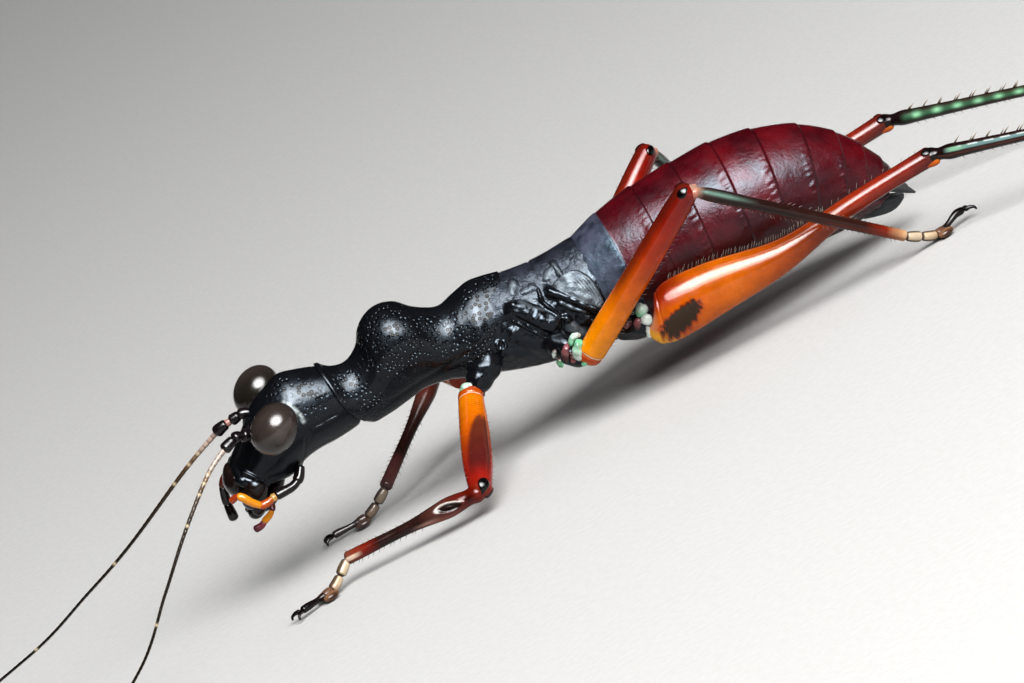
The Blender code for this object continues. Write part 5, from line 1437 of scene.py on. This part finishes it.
CAMERA_TURN, CAMERA_RISE, CAMERA_ROLL = -2.944, 13.005, 29.215
CAMERA_AIM = np.array([0.2, -0.21415, 3.11252])
CAMERA_REACH = 200.0
MM_A_PIXEL = 0.03
PHOTO_WIDTH, SENSOR = 1024, 36.0
FLOOR_REACH = 3000.0
SKY_TONE, SKY_LIGHT = (0.80, 0.84, 0.90, 1), 0.18

floor_made, floor_tree, floor_shader = finish("floor_paper", (0.40, 0.395, 0.385), 0.9, gloss=0.2)
fibre = fade(floor_tree, noise(floor_tree, 4000.0, 2.0), 0.3, 0.7)
floor_tone = blend(floor_tree, fibre, (0.385, 0.38, 0.37, 1), (0.405, 0.40, 0.39, 1))
floor_tree.links.new(floor_tone, floor_shader.inputs["Base Color"])
corners = np.array([(-1, -1, 0), (1, -1, 0), (1, 1, 0), (-1, 1, 0)]) * FLOOR_REACH * MM
floor_mesh = bpy.data.meshes.new("floor")
floor_mesh.from_pydata(corners, [], [(0, 1, 2, 3)])
floor_mesh.materials.append(floor_made)
floor = bpy.data.objects.new("floor", floor_mesh)
bpy.context.scene.collection.objects.link(floor)

turn, rise, roll = (math.radians(angle) for angle in (CAMERA_TURN, CAMERA_RISE, CAMERA_ROLL))
toward = np.array([math.sin(turn) * math.cos(rise), -math.cos(turn) * math.cos(rise), math.sin(rise)])
level = np.array([math.cos(turn), math.sin(turn), 0.0])
overhead = np.cross(level, -toward)
right = math.cos(roll) * level - math.sin(roll) * overhead
upward = math.sin(roll) * level + math.cos(roll) * overhead


def aimed(thing, place, x_axis, y_axis, z_axis):
    """Stands a camera or light at a place in millimetres, on the given axes."""
    matrix = np.eye(4)
    matrix[:3, :3] = np.stack([x_axis, y_axis, z_axis], 1)
    matrix[:3, 3] = place * MM
    thing.matrix_world = matrix.T
    bpy.context.scene.collection.objects.link(thing)


lens = bpy.data.cameras.new("camera")
lens.sensor_width = SENSOR
lens.lens = SENSOR * CAMERA_REACH / (PHOTO_WIDTH * MM_A_PIXEL)
lens.clip_start, lens.clip_end = 0.01, 10.0
camera = bpy.data.objects.new("camera", lens)
aim = CAMERA_AIM + SHIFT
aimed(camera, aim + toward * CAMERA_REACH, right, upward, toward)
bpy.context.scene.camera = camera

# Each light: degrees above the camera's axis, degrees to the right, distance, width, height,
# watts, then whether it lights surfaces and whether it is mirrored in them. The diffuser
# lights the floor from high up, and four ovals within it are mirrored in the shell as a spot.
LIGHTS = (
    ("flash", 46.0, -4.0, 170.0, 200.0, 150.0, 0.76, True, False),
    ("flash_edge", 34.0, -4.0, 170.0, 200.0, 150.0, 0.74, False, True),
    ("flash_wide", 30.0, -4.0, 169.0, 160.0, 125.0, 0.55, False, True),
    ("flash_mid", 30.0, -4.0, 168.0, 110.0, 85.0, 0.18, False, True),
    ("flash_core", 29.0, -4.0, 167.0, 76.0, 60.0, 0.24, False, True),
    ("left_fill", 10.0, -80.0, 300.0, 160.0, 160.0, 0.08, True, False),
    ("back_fill", 125.0, 20.0, 300.0, 160.0, 100.0, 0.10, True, False),
)
for name, lift, aside, reach, wide, high, watts, lights_up, mirrored in LIGHTS:
    lift, aside = math.radians(lift), math.radians(aside)
    out = math.cos(lift) * (math.cos(aside) * toward + math.sin(aside) * right) + math.sin(lift) * upward
    across = np.cross(upward, out) if abs(out @ upward) < 0.99 else right
    across /= np.linalg.norm(across)
    lamp = bpy.data.lights.new(name, "AREA")
    lamp.shape, lamp.size, lamp.size_y, lamp.energy = "ELLIPSE", wide * MM, high * MM, watts
    stand = bpy.data.objects.new(name, lamp)
    stand.visible_diffuse, stand.visible_glossy = lights_up, mirrored
    aimed(stand, aim + out * reach, across, np.cross(out, across), out)

sky = bpy.data.worlds.new("studio")
sky.use_nodes = True
sky.node_tree.nodes["Background"].inputs["Color"].default_value = SKY_TONE
sky.node_tree.nodes["Background"].inputs["Strength"].default_value = SKY_LIGHT
bpy.context.scene.world = sky
sky.cycles_visibility.glossy = False
bpy.context.scene.view_settings.view_transform = "Standard"
